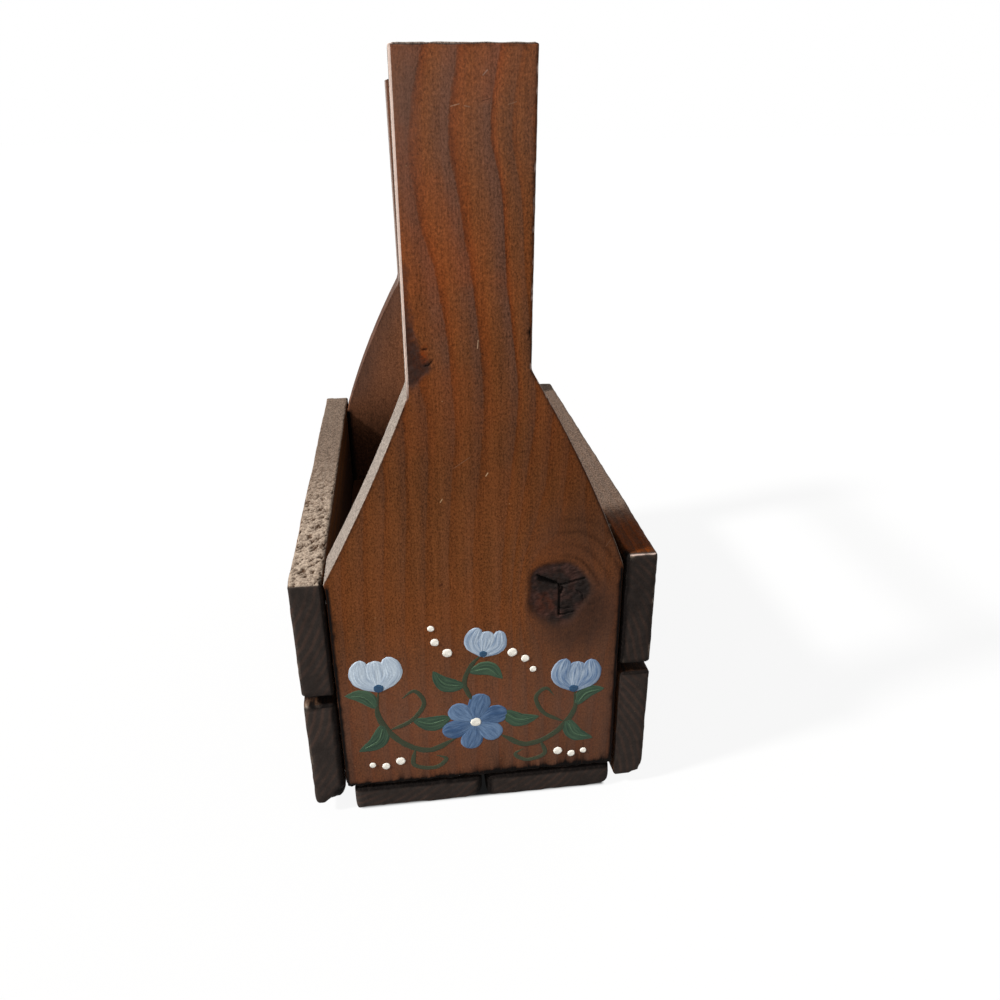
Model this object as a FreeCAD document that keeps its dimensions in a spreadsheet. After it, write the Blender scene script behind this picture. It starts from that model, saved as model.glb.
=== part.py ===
"""A small slatted wooden tool tote with a sliding drawer below its tray.

Two paddle-shaped end boards carry a dowel handle between their necks, three side slats, two
bottom slats and a tray floor. The fourth side slat is the front of a drawer that slides out
along +X on the bottom slats. The origin lies on the ground at the middle of the whole object,
knob included. +Z is up and the length runs along Y. Formulas measure x from the middle of the
end boards, and each piece's Placement carries it to the origin.
"""
import FreeCAD, Part
import os

import Sketcher
from FreeCAD import Vector

os.makedirs("parts", exist_ok=True)
doc = FreeCAD.newDocument("ToolTote")

# ---------------------------------------------------------------- driving dimensions, in mm

SIZES = {
    # end boards: heights are measured from the foot of the board
    "board_width": (114.3, "end board, width below the shoulders"),
    "board_thickness": (22, "end board, thickness"),
    "board_height": (273.5, "end board, foot to top of neck"),
    "neck_width": (42, "neck, width"),
    "neck_shift": (-1, "neck, centre line from the middle of the board"),
    "neck_round": (2, "neck, radius of the two top corners"),
    "left_neck_flare": (0.4, "neck, how far its left side leans out by the top"),
    "right_neck_flare": (1.4, "neck, how far its right side leans out by the top"),
    "left_root_height": (168.5, "left shoulder, height where it leaves the neck"),
    "left_foot_height": (98.5, "left shoulder, height where it meets the side"),
    "right_root_height": (176.5, "right shoulder, height where it leaves the neck"),
    "right_foot_height": (96.5, "right shoulder, height where it meets the side"),
    "left_root_round": (3, "left shoulder, radius at the neck"),
    "right_root_round": (9, "right shoulder, radius at the neck"),
    "right_shoulder_swell": (430, "right shoulder, radius of its outward curve"),
    "left_shoulder_hollow": (640, "left shoulder, radius of its inward curve"),
    "board_arris": (0.8, "end board, worn edge round both faces"),
    # side and bottom slats
    "tote_length": (228, "over the end boards and slats"),
    "slat_thickness": (13, "side slat and drawer front, thickness"),
    "slat_width": (51.5, "side slat, height"),
    "slat_gap": (3.5, "between the two slats of a side"),
    "slat_drop": (7, "lower slats hang this far below the end boards"),
    "slat_arris": (1.5, "side slat, worn long edges"),
    "bottom_thickness": (12, "bottom slat, thickness"),
    "bottom_left_inset": (3.5, "left bottom slat, inwards from the side of the end boards"),
    "bottom_right_inset": (1.2, "right bottom slat, inwards from the side of the end boards"),
    "bottom_gap": (1.6, "between the two bottom slats"),
    "bottom_shift": (1.2, "middle of that gap from the middle of the tote"),
    "bottom_arris": (2, "bottom slat, worn long edges"),
    # handle
    "handle_diameter": (22, "handle dowel"),
    "handle_drop": (19, "handle axis below the top of the neck"),
    "handle_seat": (12, "depth of the blind seats in the necks"),
    "handle_fit": (0.05, "radial clearance in the seats"),
    # tray floor
    "tray_thickness": (6, "tray floor"),
    "tray_height": (47, "underside of the tray floor above the end boards' foot"),
    "tray_seat": (5, "depth of the grooves in the end boards"),
    # drawer
    "front_height": (55, "drawer front, height"),
    "front_seat": (0.3, "drawer front, gap to the end boards' edges when shut"),
    "drawer_wall": (8, "drawer sides and back, thickness"),
    "drawer_side_play": (0.7, "between a drawer side and an end board"),
    "drawer_top_play": (1.5, "between the drawer sides and the tray floor"),
    "drawer_foot_play": (0.3, "between the drawer sides and the bottom slats"),
    "drawer_back_play": (3, "between the drawer back and the left slats"),
    "panel_thickness": (3, "drawer bottom"),
    "panel_lift": (4, "drawer bottom above the lower edge of the sides"),
    "panel_seat": (4, "depth of the grooves for the drawer bottom"),
    "knob_diameter": (17, "knob, across the head"),
    "knob_reach": (17, "knob, out from the drawer front"),
    "knob_dome": (12, "knob, radius of the domed face"),
    "knob_rim": (13, "knob, front of the rim above the base"),
    "knob_edge": (2.5, "knob, width of the rim"),
    "knob_waist": (6, "knob, thinnest part of the stem above the base"),
    "knob_stem": (8, "knob, diameter at the waist"),
    "knob_base": (11, "knob, diameter of the base"),
    # fasteners: flat-sided finish nails with T heads, as a nail gun drives
    "nail_length": (28, "nail, with its head"),
    "nail_width": (1.6, "nail, width of the wire"),
    "nail_thickness": (1.4, "nail, thickness of the wire"),
    "nail_head": (3, "nail, width of the head"),
    "nail_set": (0.3, "nail heads are set this far below the wood"),
    "nail_spread": (14, "nails from the middle of a slat"),
    "nail_stagger": (4, "side and bottom nails apart from the middle of a board"),
    "pin_length": (22, "drawer nail, with its head"),
    "pin_width": (1.25, "drawer nail, width of the wire"),
    "pin_thickness": (1, "drawer nail, thickness of the wire"),
    "pin_head": (2, "drawer nail, width of the head"),
    "pin_inset": (10, "drawer nails from the edges of a drawer side"),
    "screw_length": (22, "knob screw, with its head"),
    "screw_shank": (3, "knob screw, shank diameter"),
    "screw_head": (6, "knob screw, head diameter"),
}

sheet = doc.addObject("Spreadsheet::Sheet", "Sizes")
for row, (alias, (value, note)) in enumerate(SIZES.items(), start=1):
    sheet.set(f"A{row}", note)
    sheet.set(f"B{row}", str(value))
    sheet.setAlias(f"B{row}", alias)
doc.recompute()


def at(formula):
    """A formula in the sheet's aliases, as the expression that FreeCAD's properties take."""
    words = formula.replace("(", " ( ").replace(")", " ) ").split()
    return " ".join(f"Sizes.{word}" if word in SIZES else word for word in words)


def size(formula):
    """The value of such a formula, in millimetres."""
    return float(sheet.evalExpression(at(formula)))


# ---------------------------------------------------------------- places, from the dimensions

BOARD_MIDDLE_X = "- ( front_seat + knob_reach ) / 2"
FOOT = "bottom_thickness"                       # the end boards stand on the bottom slats
HALF_WIDTH = "( board_width / 2 )"
SIDE_FACE = "( board_width / 2 + slat_thickness )"
HALF_LENGTH = "( tote_length / 2 )"
INNER_FACE = "( tote_length / 2 - board_thickness )"
NECK_LEFT = "( neck_shift - neck_width / 2 )"
NECK_RIGHT = "( neck_shift + neck_width / 2 )"
NECK_TOP = "( bottom_thickness + board_height )"
HANDLE_Z = "( bottom_thickness + board_height - handle_drop )"
TRAY_Z = "( bottom_thickness + tray_height )"
LOWER_LOW = "( bottom_thickness - slat_drop )"
LEFT_LOWER_TOP = "( bottom_thickness - slat_drop + slat_width )"
LEFT_UPPER_LOW = "( bottom_thickness - slat_drop + slat_width + slat_gap )"
LEFT_UPPER_TOP = "( bottom_thickness - slat_drop + 2 * slat_width + slat_gap )"
FRONT_TOP = "( bottom_thickness - slat_drop + front_height )"
RIGHT_UPPER_LOW = "( bottom_thickness - slat_drop + front_height + slat_gap )"
RIGHT_UPPER_TOP = "( bottom_thickness - slat_drop + front_height + slat_gap + slat_width )"
LEFT_BOTTOM = ("( bottom_left_inset - board_width / 2 )", "( bottom_shift - bottom_gap / 2 )")
RIGHT_BOTTOM = ("( bottom_shift + bottom_gap / 2 )", "( board_width / 2 - bottom_right_inset )")

FRONT_BACK = "( board_width / 2 + front_seat )"           # inner face of the drawer front
FRONT_FACE = "( board_width / 2 + front_seat + slat_thickness )"
FRONT_MIDDLE = "( bottom_thickness - slat_drop + front_height / 2 )"
DRAWER_END = "( drawer_back_play - board_width / 2 )"     # outer face of the drawer back
DRAWER_LOW = "( bottom_thickness + drawer_foot_play )"
DRAWER_TOP = "( bottom_thickness + tray_height - drawer_top_play )"
DRAWER_OUT = "( tote_length / 2 - board_thickness - drawer_side_play )"
DRAWER_IN = "( tote_length / 2 - board_thickness - drawer_side_play - drawer_wall )"
PANEL_LOW = "( bottom_thickness + drawer_foot_play + panel_lift )"
PANEL_TOP = "( bottom_thickness + drawer_foot_play + panel_lift + panel_thickness )"


# ---------------------------------------------------------------- ways of making a piece


def body(name):
    owner = doc.addObject("PartDesign::Body", name)
    owner.setExpression("Placement.Base.x", at(BOARD_MIDDLE_X))
    return owner


def plane(owner, role):
    return next(item for item in owner.Origin.OriginFeatures if item.Role == role)


def new_sketch(owner, name, role, offset):
    """An empty sketch on one of the body's own planes, shifted along that plane's normal."""
    sketch = owner.newObject("Sketcher::SketchObject", name)
    sketch.AttachmentSupport = [(plane(owner, role), "")]
    sketch.MapMode = "FlatFace"
    sketch.setExpression("AttachmentOffset.Base.z", at(offset))
    return sketch


def bind(sketch, constraint, formula):
    """Add a dimension to a sketch and tie it to a formula."""
    number = sketch.addConstraint(constraint)
    sketch.setExpression(f"Constraints[{number}]", at(formula))


def pin_point(sketch, curve, point, across, along):
    """Fix one point of a curve by its two distances from the sketch's origin."""
    for kind, formula in (("DistanceX", across), ("DistanceY", along)):
        bind(sketch, Sketcher.Constraint(kind, -1, 1, curve, point, size(formula)), formula)


INWARDS, OUTWARDS = 1, -1                       # for outlines that run anticlockwise


def arc_middle(start, end, radius, side):
    """The middle point of an arc that stands off its chord to the left (1) or right (-1)."""
    chord = end - start
    sagitta = radius - (radius ** 2 - chord.Length ** 2 / 4) ** 0.5
    return (start + end) / 2 + Vector(-chord.y, chord.x, 0).normalize() * sagitta * side


def outline(owner, name, role, offset, corners, arcs=None):
    """A closed outline through corners; arcs gives, for some edges, a radius and a side."""
    arcs = arcs or {}
    sketch = new_sketch(owner, name, role, offset)
    points = [Vector(size(across), size(along), 0) for across, along in corners]
    count = len(points)
    for here, start in enumerate(points):
        end = points[(here + 1) % count]
        if here in arcs:
            middle = arc_middle(start, end, size(arcs[here][0]), arcs[here][1])
            curve = Part.Arc(start, middle, end)
        else:
            curve = Part.LineSegment(start, end)
        sketch.addGeometry(curve, False)
    ends = {}
    for here, start in enumerate(points):
        ends[here] = (1, 2)
        if here in arcs and (sketch.getPoint(here, 1) - start).Length > 1e-6:
            ends[here] = (2, 1)                 # a clockwise arc is stored end to start
    for here in range(count):
        after = (here + 1) % count
        sketch.addConstraint(Sketcher.Constraint("Coincident", here, ends[here][1], after, ends[after][0]))
        pin_point(sketch, here, ends[here][0], *corners[here])
    for here, (radius, _) in arcs.items():
        bind(sketch, Sketcher.Constraint("Radius", here, size(radius)), radius)
    return sketch


def rectangle(owner, name, role, offset, across, along):
    """A rectangle between two pairs of formulas."""
    (left, right), (low, high) = across, along
    return outline(owner, name, role, offset, [(left, low), (right, low), (right, high), (left, high)])


def circles(owner, name, role, offset, centres, diameter):
    """Equal circles at the given centres."""
    sketch = new_sketch(owner, name, role, offset)
    for number, (across, along) in enumerate(centres):
        centre = Vector(size(across), size(along), 0)
        sketch.addGeometry(Part.Circle(centre, Vector(0, 0, 1), size(diameter) / 2), False)
        pin_point(sketch, number, 3, across, along)
        bind(sketch, Sketcher.Constraint("Diameter", number, size(diameter)), diameter)
    return sketch


def extrude(owner, kind, sketch, length, symmetric=False, reverse=False):
    """A Pad or Pocket of a sketch."""
    feature = owner.newObject(f"PartDesign::{kind}", f"{sketch.Name}{kind}")
    feature.Profile = sketch
    feature.setExpression("Length", at(length))
    feature.SideType = "Symmetric" if symmetric else "One side"
    feature.Reversed = reverse
    sketch.Visibility = False
    doc.recompute()
    if kind == "Pocket" and feature.Shape.Volume > feature.BaseFeature.Shape.Volume - 1:
        raise RuntimeError(f"{feature.Label} cuts nothing")
    return feature


def straight_edges(shape, direction, keep):
    """Names of the straight edges along a direction whose middle passes the test."""
    names = []
    for number, edge in enumerate(shape.Edges, start=1):
        if edge.Curve.TypeId != "Part::GeomLine":
            continue
        along = abs(edge.Curve.Direction.dot(direction)) > 0.9999
        if along and keep(edge.CenterOfMass):
            names.append(f"Edge{number}")
    return names


def dress(owner, kind, base, names, amount):
    """A Fillet or Chamfer of the named edges."""
    feature = owner.newObject(f"PartDesign::{kind}", f"{base.Name}{kind}")
    feature.Base = (base, names)
    feature.setExpression("Radius" if kind == "Fillet" else "Size", at(amount))
    doc.recompute()
    return feature


def board(name, across, along_z, length, arris):
    """A plain board with its length along Y, centred, and its long edges worn round."""
    owner = body(name)
    section = rectangle(owner, f"{name}_section", "XZ_Plane", "0", across, along_z)
    solid = extrude(owner, "Pad", section, length, symmetric=True)
    long_edges = straight_edges(solid.Shape, Vector(0, 1, 0), lambda middle: True)
    dress(owner, "Fillet", solid, long_edges, arris)
    return owner


# ---------------------------------------------------------------- fasteners


def nail(length, width, thickness, head):
    """A T-headed finish nail along +X, with the top of its head at the origin."""
    point_start = length - 1.5 * width
    half = [(0, head / 2), (thickness, head / 2), (thickness, width / 2), (point_start, width / 2), (length, width / 8)]
    profile = [Vector(x, y, -thickness / 2) for x, y in half]
    profile += [Vector(corner.x, -corner.y, corner.z) for corner in reversed(profile)]
    return Part.Face(Part.makePolygon(profile + profile[:1])).extrude(Vector(0, 0, thickness))


def aimed(shape, place, direction):
    """A copy of a fastener that points along a direction from a place."""
    copy = shape.copy()
    copy.Placement = FreeCAD.Placement(place, FreeCAD.Rotation(Vector(1, 0, 0), direction))
    return copy


def fastener_group(name, solids):
    feature = doc.addObject("Part::Feature", name)
    feature.Shape = Part.makeCompound(solids)
    feature.Placement = FreeCAD.Placement(Vector(size(BOARD_MIDDLE_X), 0, 0), FreeCAD.Rotation())
    return feature


LEFT, RIGHT, UP, DOWN = Vector(-1, 0, 0), Vector(1, 0, 0), Vector(0, 0, 1), Vector(0, 0, -1)
NAIL = nail(size("nail_length"), size("nail_width"), size("nail_thickness"), size("nail_head"))
DRAWER_PIN = nail(size("pin_length"), size("pin_width"), size("pin_thickness"), size("pin_head"))
BOARD_MIDDLE = "( tote_length / 2 - board_thickness / 2 )"


def side_nails():
    """Two nails through each end of the three fixed side slats into the end boards' edges."""
    y_place = size(BOARD_MIDDLE + " + nail_stagger")
    face = size(SIDE_FACE + " - nail_set")
    slats = ((-face, RIGHT, LOWER_LOW), (-face, RIGHT, LEFT_UPPER_LOW), (face, LEFT, RIGHT_UPPER_LOW))
    solids = []
    for x_place, direction, low in slats:
        for shift in ("- nail_spread", "+ nail_spread"):
            z_place = size(f"{low} + slat_width / 2 {shift}")
            for y_side in (-y_place, y_place):
                solids.append(aimed(NAIL, Vector(x_place, y_side, z_place), direction))
    return fastener_group("side_slat_nails", solids)


def bottom_nails():
    """Two nails up through each end of the two bottom slats into the end boards' feet."""
    y_place = size(BOARD_MIDDLE + " - nail_stagger")
    solids = []
    for edge, other_edge in (LEFT_BOTTOM, RIGHT_BOTTOM):
        for shift in ("- nail_spread", "+ nail_spread"):
            for y_side in (-y_place, y_place):
                place = Vector(size(f"( {edge} + {other_edge} ) / 2 {shift}"), y_side, size("nail_set"))
                solids.append(aimed(NAIL, place, UP))
    return fastener_group("bottom_slat_nails", solids)


def handle_nails():
    """One nail down through the top of each neck into the end of the handle dowel."""
    y_place = size(INNER_FACE + " + handle_seat / 2")
    top = size(NECK_TOP + " - nail_set")
    places = [Vector(size("neck_shift"), y_side, top) for y_side in (-y_place, y_place)]
    return fastener_group("handle_nails", [aimed(NAIL, place, DOWN) for place in places])


def drawer_nails():
    """Nails that hold the drawer sides to the drawer front and to the drawer back."""
    solids = []
    middle_of_wall = size(DRAWER_IN + " + drawer_wall / 2")
    for z_place in (size(DRAWER_LOW + " + pin_inset"), size(DRAWER_TOP + " - pin_inset")):
        for y_side in (-middle_of_wall, middle_of_wall):
            solids.append(aimed(DRAWER_PIN, Vector(size(FRONT_FACE + " - nail_set"), y_side, z_place), LEFT))
    x_place = size(DRAWER_END + " + drawer_wall / 2")
    y_place = size(DRAWER_OUT + " - nail_set")
    for z_place in (size(PANEL_TOP + " + pin_inset"), size(DRAWER_TOP + " - pin_inset")):
        solids.append(aimed(DRAWER_PIN, Vector(x_place, -y_place, z_place), Vector(0, 1, 0)))
        solids.append(aimed(DRAWER_PIN, Vector(x_place, y_place, z_place), Vector(0, -1, 0)))
    return fastener_group("drawer_nails", solids)


def knob_screw():
    """A countersunk screw from inside the drawer front into the knob."""
    head_radius, shank_radius = size("screw_head / 2"), size("screw_shank / 2")
    cone_height = head_radius - shank_radius
    screw = Part.makeCone(head_radius, shank_radius, cone_height, Vector(), RIGHT)
    shank = Part.makeCylinder(shank_radius, size("screw_length") - cone_height, Vector(cone_height, 0, 0), RIGHT)
    solid = screw.fuse(shank).removeSplitter()
    return fastener_group("knob_screw", [aimed(solid, Vector(size(FRONT_BACK), 0, size(FRONT_MIDDLE)), RIGHT)])


def fastened(name, blank, *fasteners):
    """The finished piece: its blank, with the holes that its fasteners fill."""
    holes = fasteners[0]
    if len(fasteners) > 1:
        holes = doc.addObject("Part::Compound", f"{name}_holes")
        holes.Links = list(fasteners)
    piece = doc.addObject("Part::Cut", name)
    piece.Base = blank
    piece.Tool = holes
    return piece


# ---------------------------------------------------------------- the tote


def end_board(name, face, toward):
    """A paddle-shaped end board; face is the y of its outer face, toward is 1 or -1 inwards.

    Both are sawn to one pattern, whose left and right are as seen from outside the tote.
    """
    owner = body(name)
    shoulders = [
        ("left_root_height", "left_foot_height", "left_neck_flare", ("left_shoulder_hollow", INWARDS)),
        ("right_root_height", "right_foot_height", "right_neck_flare", ("right_shoulder_swell", OUTWARDS)),
    ]
    if toward < 0:
        shoulders.reverse()                     # the rear board has turned its back to the front one
    (low_root, low_foot, low_flare, low_arc), (high_root, high_foot, high_flare, high_arc) = shoulders
    corners = [
        ("- " + HALF_WIDTH, FOOT),
        (HALF_WIDTH, FOOT),
        (HALF_WIDTH, f"{FOOT} + {high_foot}"),
        (NECK_RIGHT, f"{FOOT} + {high_root}"),
        (f"{NECK_RIGHT} + {high_flare}", NECK_TOP),
        (f"{NECK_LEFT} - {low_flare}", NECK_TOP),
        (NECK_LEFT, f"{FOOT} + {low_root}"),
        ("- " + HALF_WIDTH, f"{FOOT} + {low_foot}"),
    ]
    arcs = {2: high_arc, 6: low_arc}
    # the plane's normal is -Y, so a sketch at y = face is shifted by -face
    paddle = outline(owner, f"{name}_paddle", "XZ_Plane", f"- ( {face} )", corners, arcs)
    solid = extrude(owner, "Pad", paddle, "board_thickness", reverse=toward > 0)
    rounds = (
        ("neck_round", NECK_TOP),
        ("left_root_round", FOOT + " + left_root_height"),
        ("right_root_round", FOOT + " + right_root_height"),
    )
    for radius, height in rounds:
        level = size(height)
        edges = straight_edges(solid.Shape, Vector(0, 1, 0), lambda middle: abs(middle.z - level) < 0.01)
        solid = dress(owner, "Fillet", solid, edges, radius)

    shoulder = size(FOOT + " + right_foot_height") + 0.1
    faces = (size(face), size(face) + toward * size("board_thickness"))
    worn = []
    for number, edge in enumerate(solid.Shape.Edges, start=1):
        middle = edge.CenterOfMass
        on_face = any(abs(middle.y - y_face) < 0.01 for y_face in faces)
        if on_face and middle.z > shoulder and edge.BoundBox.YLength < 0.01:
            worn.append(f"Edge{number}")
    dress(owner, "Chamfer", solid, worn, "board_arris")

    inner = f"( {face} ) {'+' if toward > 0 else '-'} board_thickness"
    seat = circles(owner, f"{name}_handle_seat", "XZ_Plane", f"- ( {inner} )",
                   [("neck_shift", HANDLE_Z)], "handle_diameter + 2 * handle_fit")
    extrude(owner, "Pocket", seat, "handle_seat", reverse=toward > 0)
    groove = rectangle(owner, f"{name}_tray_groove", "XZ_Plane", f"- ( {inner} )",
                       ("- " + HALF_WIDTH, HALF_WIDTH), (TRAY_Z, TRAY_Z + " + tray_thickness"))
    extrude(owner, "Pocket", groove, "tray_seat", reverse=toward > 0)
    return owner


def left_slat(name, low, high):
    return board(name, ("- " + SIDE_FACE, "- " + HALF_WIDTH), (low, high), "tote_length", "slat_arris")


def handle_dowel():
    owner = body("handle_dowel_blank")
    section = circles(owner, "handle_section", "XZ_Plane", "0", [("neck_shift", HANDLE_Z)], "handle_diameter")
    extrude(owner, "Pad", section, f"2 * ( {INNER_FACE} + handle_seat )", symmetric=True)
    return owner


def tray_floor():
    owner = body("tray_floor")
    panel = rectangle(owner, "tray_panel", "XY_Plane", TRAY_Z, ("- " + HALF_WIDTH, HALF_WIDTH),
                      (f"- ( {INNER_FACE} + tray_seat )", f"{INNER_FACE} + tray_seat"))
    extrude(owner, "Pad", panel, "tray_thickness")
    return owner


# ---------------------------------------------------------------- the drawer


def drawer_front():
    """The lower right slat, with a groove for the drawer bottom in its inner face."""
    owner = board("drawer_front_blank", (FRONT_BACK, FRONT_FACE), (LOWER_LOW, FRONT_TOP),
                  "tote_length", "slat_arris")
    reach = f"( {DRAWER_IN} + panel_seat )"
    groove = rectangle(owner, "front_groove", "YZ_Plane", FRONT_BACK, ("- " + reach, reach), (PANEL_LOW, PANEL_TOP))
    extrude(owner, "Pocket", groove, "panel_seat", reverse=True)
    return owner


def drawer_side(name, side):
    """A drawer side with a groove along its inner face; side is 1 at the rear, -1 in front."""
    owner = body(name)
    faces = (DRAWER_IN, DRAWER_OUT) if side > 0 else ("- " + DRAWER_OUT, "- " + DRAWER_IN)
    plan = rectangle(owner, f"{name}_plan", "XY_Plane", DRAWER_LOW, (DRAWER_END, FRONT_BACK), faces)
    extrude(owner, "Pad", plan, f"{DRAWER_TOP} - {DRAWER_LOW}")
    shift = "- " + DRAWER_IN if side > 0 else DRAWER_IN
    groove = rectangle(owner, f"{name}_groove", "XZ_Plane", shift, (DRAWER_END, FRONT_BACK), (PANEL_LOW, PANEL_TOP))
    extrude(owner, "Pocket", groove, "panel_seat", reverse=side < 0)
    return owner


def drawer_back():
    owner = body("drawer_back_blank")
    plan = rectangle(owner, "drawer_back_plan", "XY_Plane", PANEL_TOP,
                     (DRAWER_END, DRAWER_END + " + drawer_wall"), ("- " + DRAWER_IN, DRAWER_IN))
    extrude(owner, "Pad", plan, f"{DRAWER_TOP} - {PANEL_TOP}")
    return owner


def drawer_bottom():
    owner = body("drawer_bottom")
    reach = f"( {DRAWER_IN} + panel_seat )"
    panel = rectangle(owner, "drawer_panel", "XY_Plane", PANEL_LOW,
                      (DRAWER_END, FRONT_BACK + " + panel_seat"), ("- " + reach, reach))
    extrude(owner, "Pad", panel, "panel_thickness")
    return owner


def knob():
    """A turned knob: a waisted stem under a domed head, revolved about its own X axis."""
    owner = body("drawer_knob_blank")
    corners = [
        ("0", "0"),
        ("knob_reach", "0"),
        ("knob_rim", "knob_diameter / 2"),
        ("knob_rim - knob_edge", "knob_diameter / 2"),
        ("knob_waist", "knob_stem / 2"),
        ("0", "knob_base / 2"),
    ]
    arcs = {1: ("knob_dome", OUTWARDS)}
    profile = outline(owner, "knob_profile", "XY_Plane", "0", corners, arcs)
    turned = owner.newObject("PartDesign::Revolution", "knob_turned")
    turned.Profile = profile
    turned.ReferenceAxis = (profile, ["H_Axis"])
    turned.Angle = 360
    profile.Visibility = False
    owner.setExpression("Placement.Base.x", at(f"{BOARD_MIDDLE_X} + {FRONT_FACE}"))
    owner.setExpression("Placement.Base.z", at(FRONT_MIDDLE))
    return owner


# ---------------------------------------------------------------- the assembly

SIDE_NAILS = side_nails()
BOTTOM_NAILS = bottom_nails()
HANDLE_NAILS = handle_nails()
DRAWER_NAILS = drawer_nails()
KNOB_SCREW = knob_screw()

pieces = [SIDE_NAILS, BOTTOM_NAILS, HANDLE_NAILS, DRAWER_NAILS, KNOB_SCREW]
for board_name, outer_face, inwards in (("front_end_board", "- " + HALF_LENGTH, 1),
                                        ("rear_end_board", HALF_LENGTH, -1)):
    paddle_blank = end_board(f"{board_name}_blank", outer_face, inwards)
    pieces.append(fastened(board_name, paddle_blank, SIDE_NAILS, BOTTOM_NAILS, HANDLE_NAILS))
for slat_name, slat_low, slat_high in (("lower_left_slat", LOWER_LOW, LEFT_LOWER_TOP),
                                       ("upper_left_slat", LEFT_UPPER_LOW, LEFT_UPPER_TOP)):
    pieces.append(fastened(slat_name, left_slat(f"{slat_name}_blank", slat_low, slat_high), SIDE_NAILS))
right_slat = board("upper_right_slat_blank", (HALF_WIDTH, SIDE_FACE), (RIGHT_UPPER_LOW, RIGHT_UPPER_TOP),
                   "tote_length", "slat_arris")
pieces.append(fastened("upper_right_slat", right_slat, SIDE_NAILS))
for slat_name, slat_edges in (("left_bottom_slat", LEFT_BOTTOM), ("right_bottom_slat", RIGHT_BOTTOM)):
    slat = board(f"{slat_name}_blank", slat_edges, ("0", "bottom_thickness"), "tote_length", "bottom_arris")
    pieces.append(fastened(slat_name, slat, BOTTOM_NAILS))
pieces.append(fastened("handle_dowel", handle_dowel(), HANDLE_NAILS))
pieces.append(tray_floor())

pieces.append(fastened("drawer_front", drawer_front(), DRAWER_NAILS, KNOB_SCREW))
pieces.append(fastened("front_drawer_side", drawer_side("front_drawer_side_blank", -1), DRAWER_NAILS))
pieces.append(fastened("rear_drawer_side", drawer_side("rear_drawer_side_blank", 1), DRAWER_NAILS))
pieces.append(fastened("drawer_back", drawer_back(), DRAWER_NAILS))
pieces.append(drawer_bottom())
pieces.append(fastened("drawer_knob", knob(), KNOB_SCREW))

doc.recompute()
for item in doc.Objects:
    if "Invalid" in item.State or "Error" in item.State:
        raise RuntimeError(f"{item.Label} failed: {item.State}")
for piece in pieces:
    if piece.Shape.isNull() or not piece.Shape.isValid():
        raise RuntimeError(f"{piece.Label} has no valid shape")
for piece in pieces:
    piece.Shape.exportStep(f"parts/{piece.Label}.step")
    print(piece.Label, len(piece.Shape.Solids), round(piece.Shape.Volume, 1))
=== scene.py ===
"""A stained pine tote with a drawer: its worn wood, its painted garland, the studio and the camera."""

import logging
import math
from dataclasses import dataclass
from enum import Enum, IntEnum
from functools import partialmethod
from itertools import product
from typing import Mapping, Sequence

import bpy
import numpy as np
from mathutils import Matrix, Vector


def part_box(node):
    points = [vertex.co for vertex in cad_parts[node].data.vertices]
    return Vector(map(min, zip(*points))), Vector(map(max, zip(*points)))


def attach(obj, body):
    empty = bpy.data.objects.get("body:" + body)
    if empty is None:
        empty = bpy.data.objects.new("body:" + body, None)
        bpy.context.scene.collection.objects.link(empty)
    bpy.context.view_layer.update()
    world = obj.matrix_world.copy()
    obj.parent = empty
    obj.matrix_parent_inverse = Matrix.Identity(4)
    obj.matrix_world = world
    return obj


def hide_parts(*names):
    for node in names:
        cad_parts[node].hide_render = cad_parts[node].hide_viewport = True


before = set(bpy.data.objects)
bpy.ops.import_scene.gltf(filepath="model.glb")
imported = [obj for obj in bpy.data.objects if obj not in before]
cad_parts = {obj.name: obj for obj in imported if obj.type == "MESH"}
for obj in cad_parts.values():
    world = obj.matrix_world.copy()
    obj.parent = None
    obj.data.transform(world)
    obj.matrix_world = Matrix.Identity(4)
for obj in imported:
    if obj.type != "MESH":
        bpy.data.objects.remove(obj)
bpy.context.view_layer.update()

MM = 0.001
LOG = logging.getLogger("tote")

Colour = tuple[float, float, float]
Point = tuple[float, float, float]
Pair = tuple[float, float]
Run = tuple[Pair, ...]
Facts = dict[str, np.ndarray]


class Axis(Enum):
    """A direction of the frame, such as the way that a board's fibres run."""

    X = 0
    Y = 1
    Z = 2

    def sizes(self, across: float, along: float) -> Point:
        """Sizes of a mark that is across wide and along long, for this axis as the long one."""
        return tuple(along if axis == self.value else across for axis in range(3))


class Body(Enum):
    """The two bodies that move against each other."""

    TOTE = "tote"
    DRAWER = "drawer"


class Slot(Enum):
    """The record's finishes, passed along with the new pieces but not used."""

    BOARD = "stained_board"
    SLAT = "stained_slat"
    HANDLE = "handle_wood"
    DRAWER = "drawer_wood"


def shade(red: float, green: float, blue: float) -> Colour:
    """A colour from its screen values of 0 to 255, as linear light."""
    parts = (value / 255 for value in (red, green, blue))
    return tuple(v / 12.92 if v <= 0.04045 else ((v + 0.055) / 1.055) ** 2.4 for v in parts)


# ---------------------------------------------------------------- numbers over space


PLACE_PRIMES = (73856093, 19349663, 83492791)
SEED_PRIME = 2654435761
STIRS = ((13, 1274126177), (15, 668265263))
LAST_SHIFT = 16
LARGEST = 0xFFFFFFFF
LAYER_SHIFT = 17.3


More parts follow.
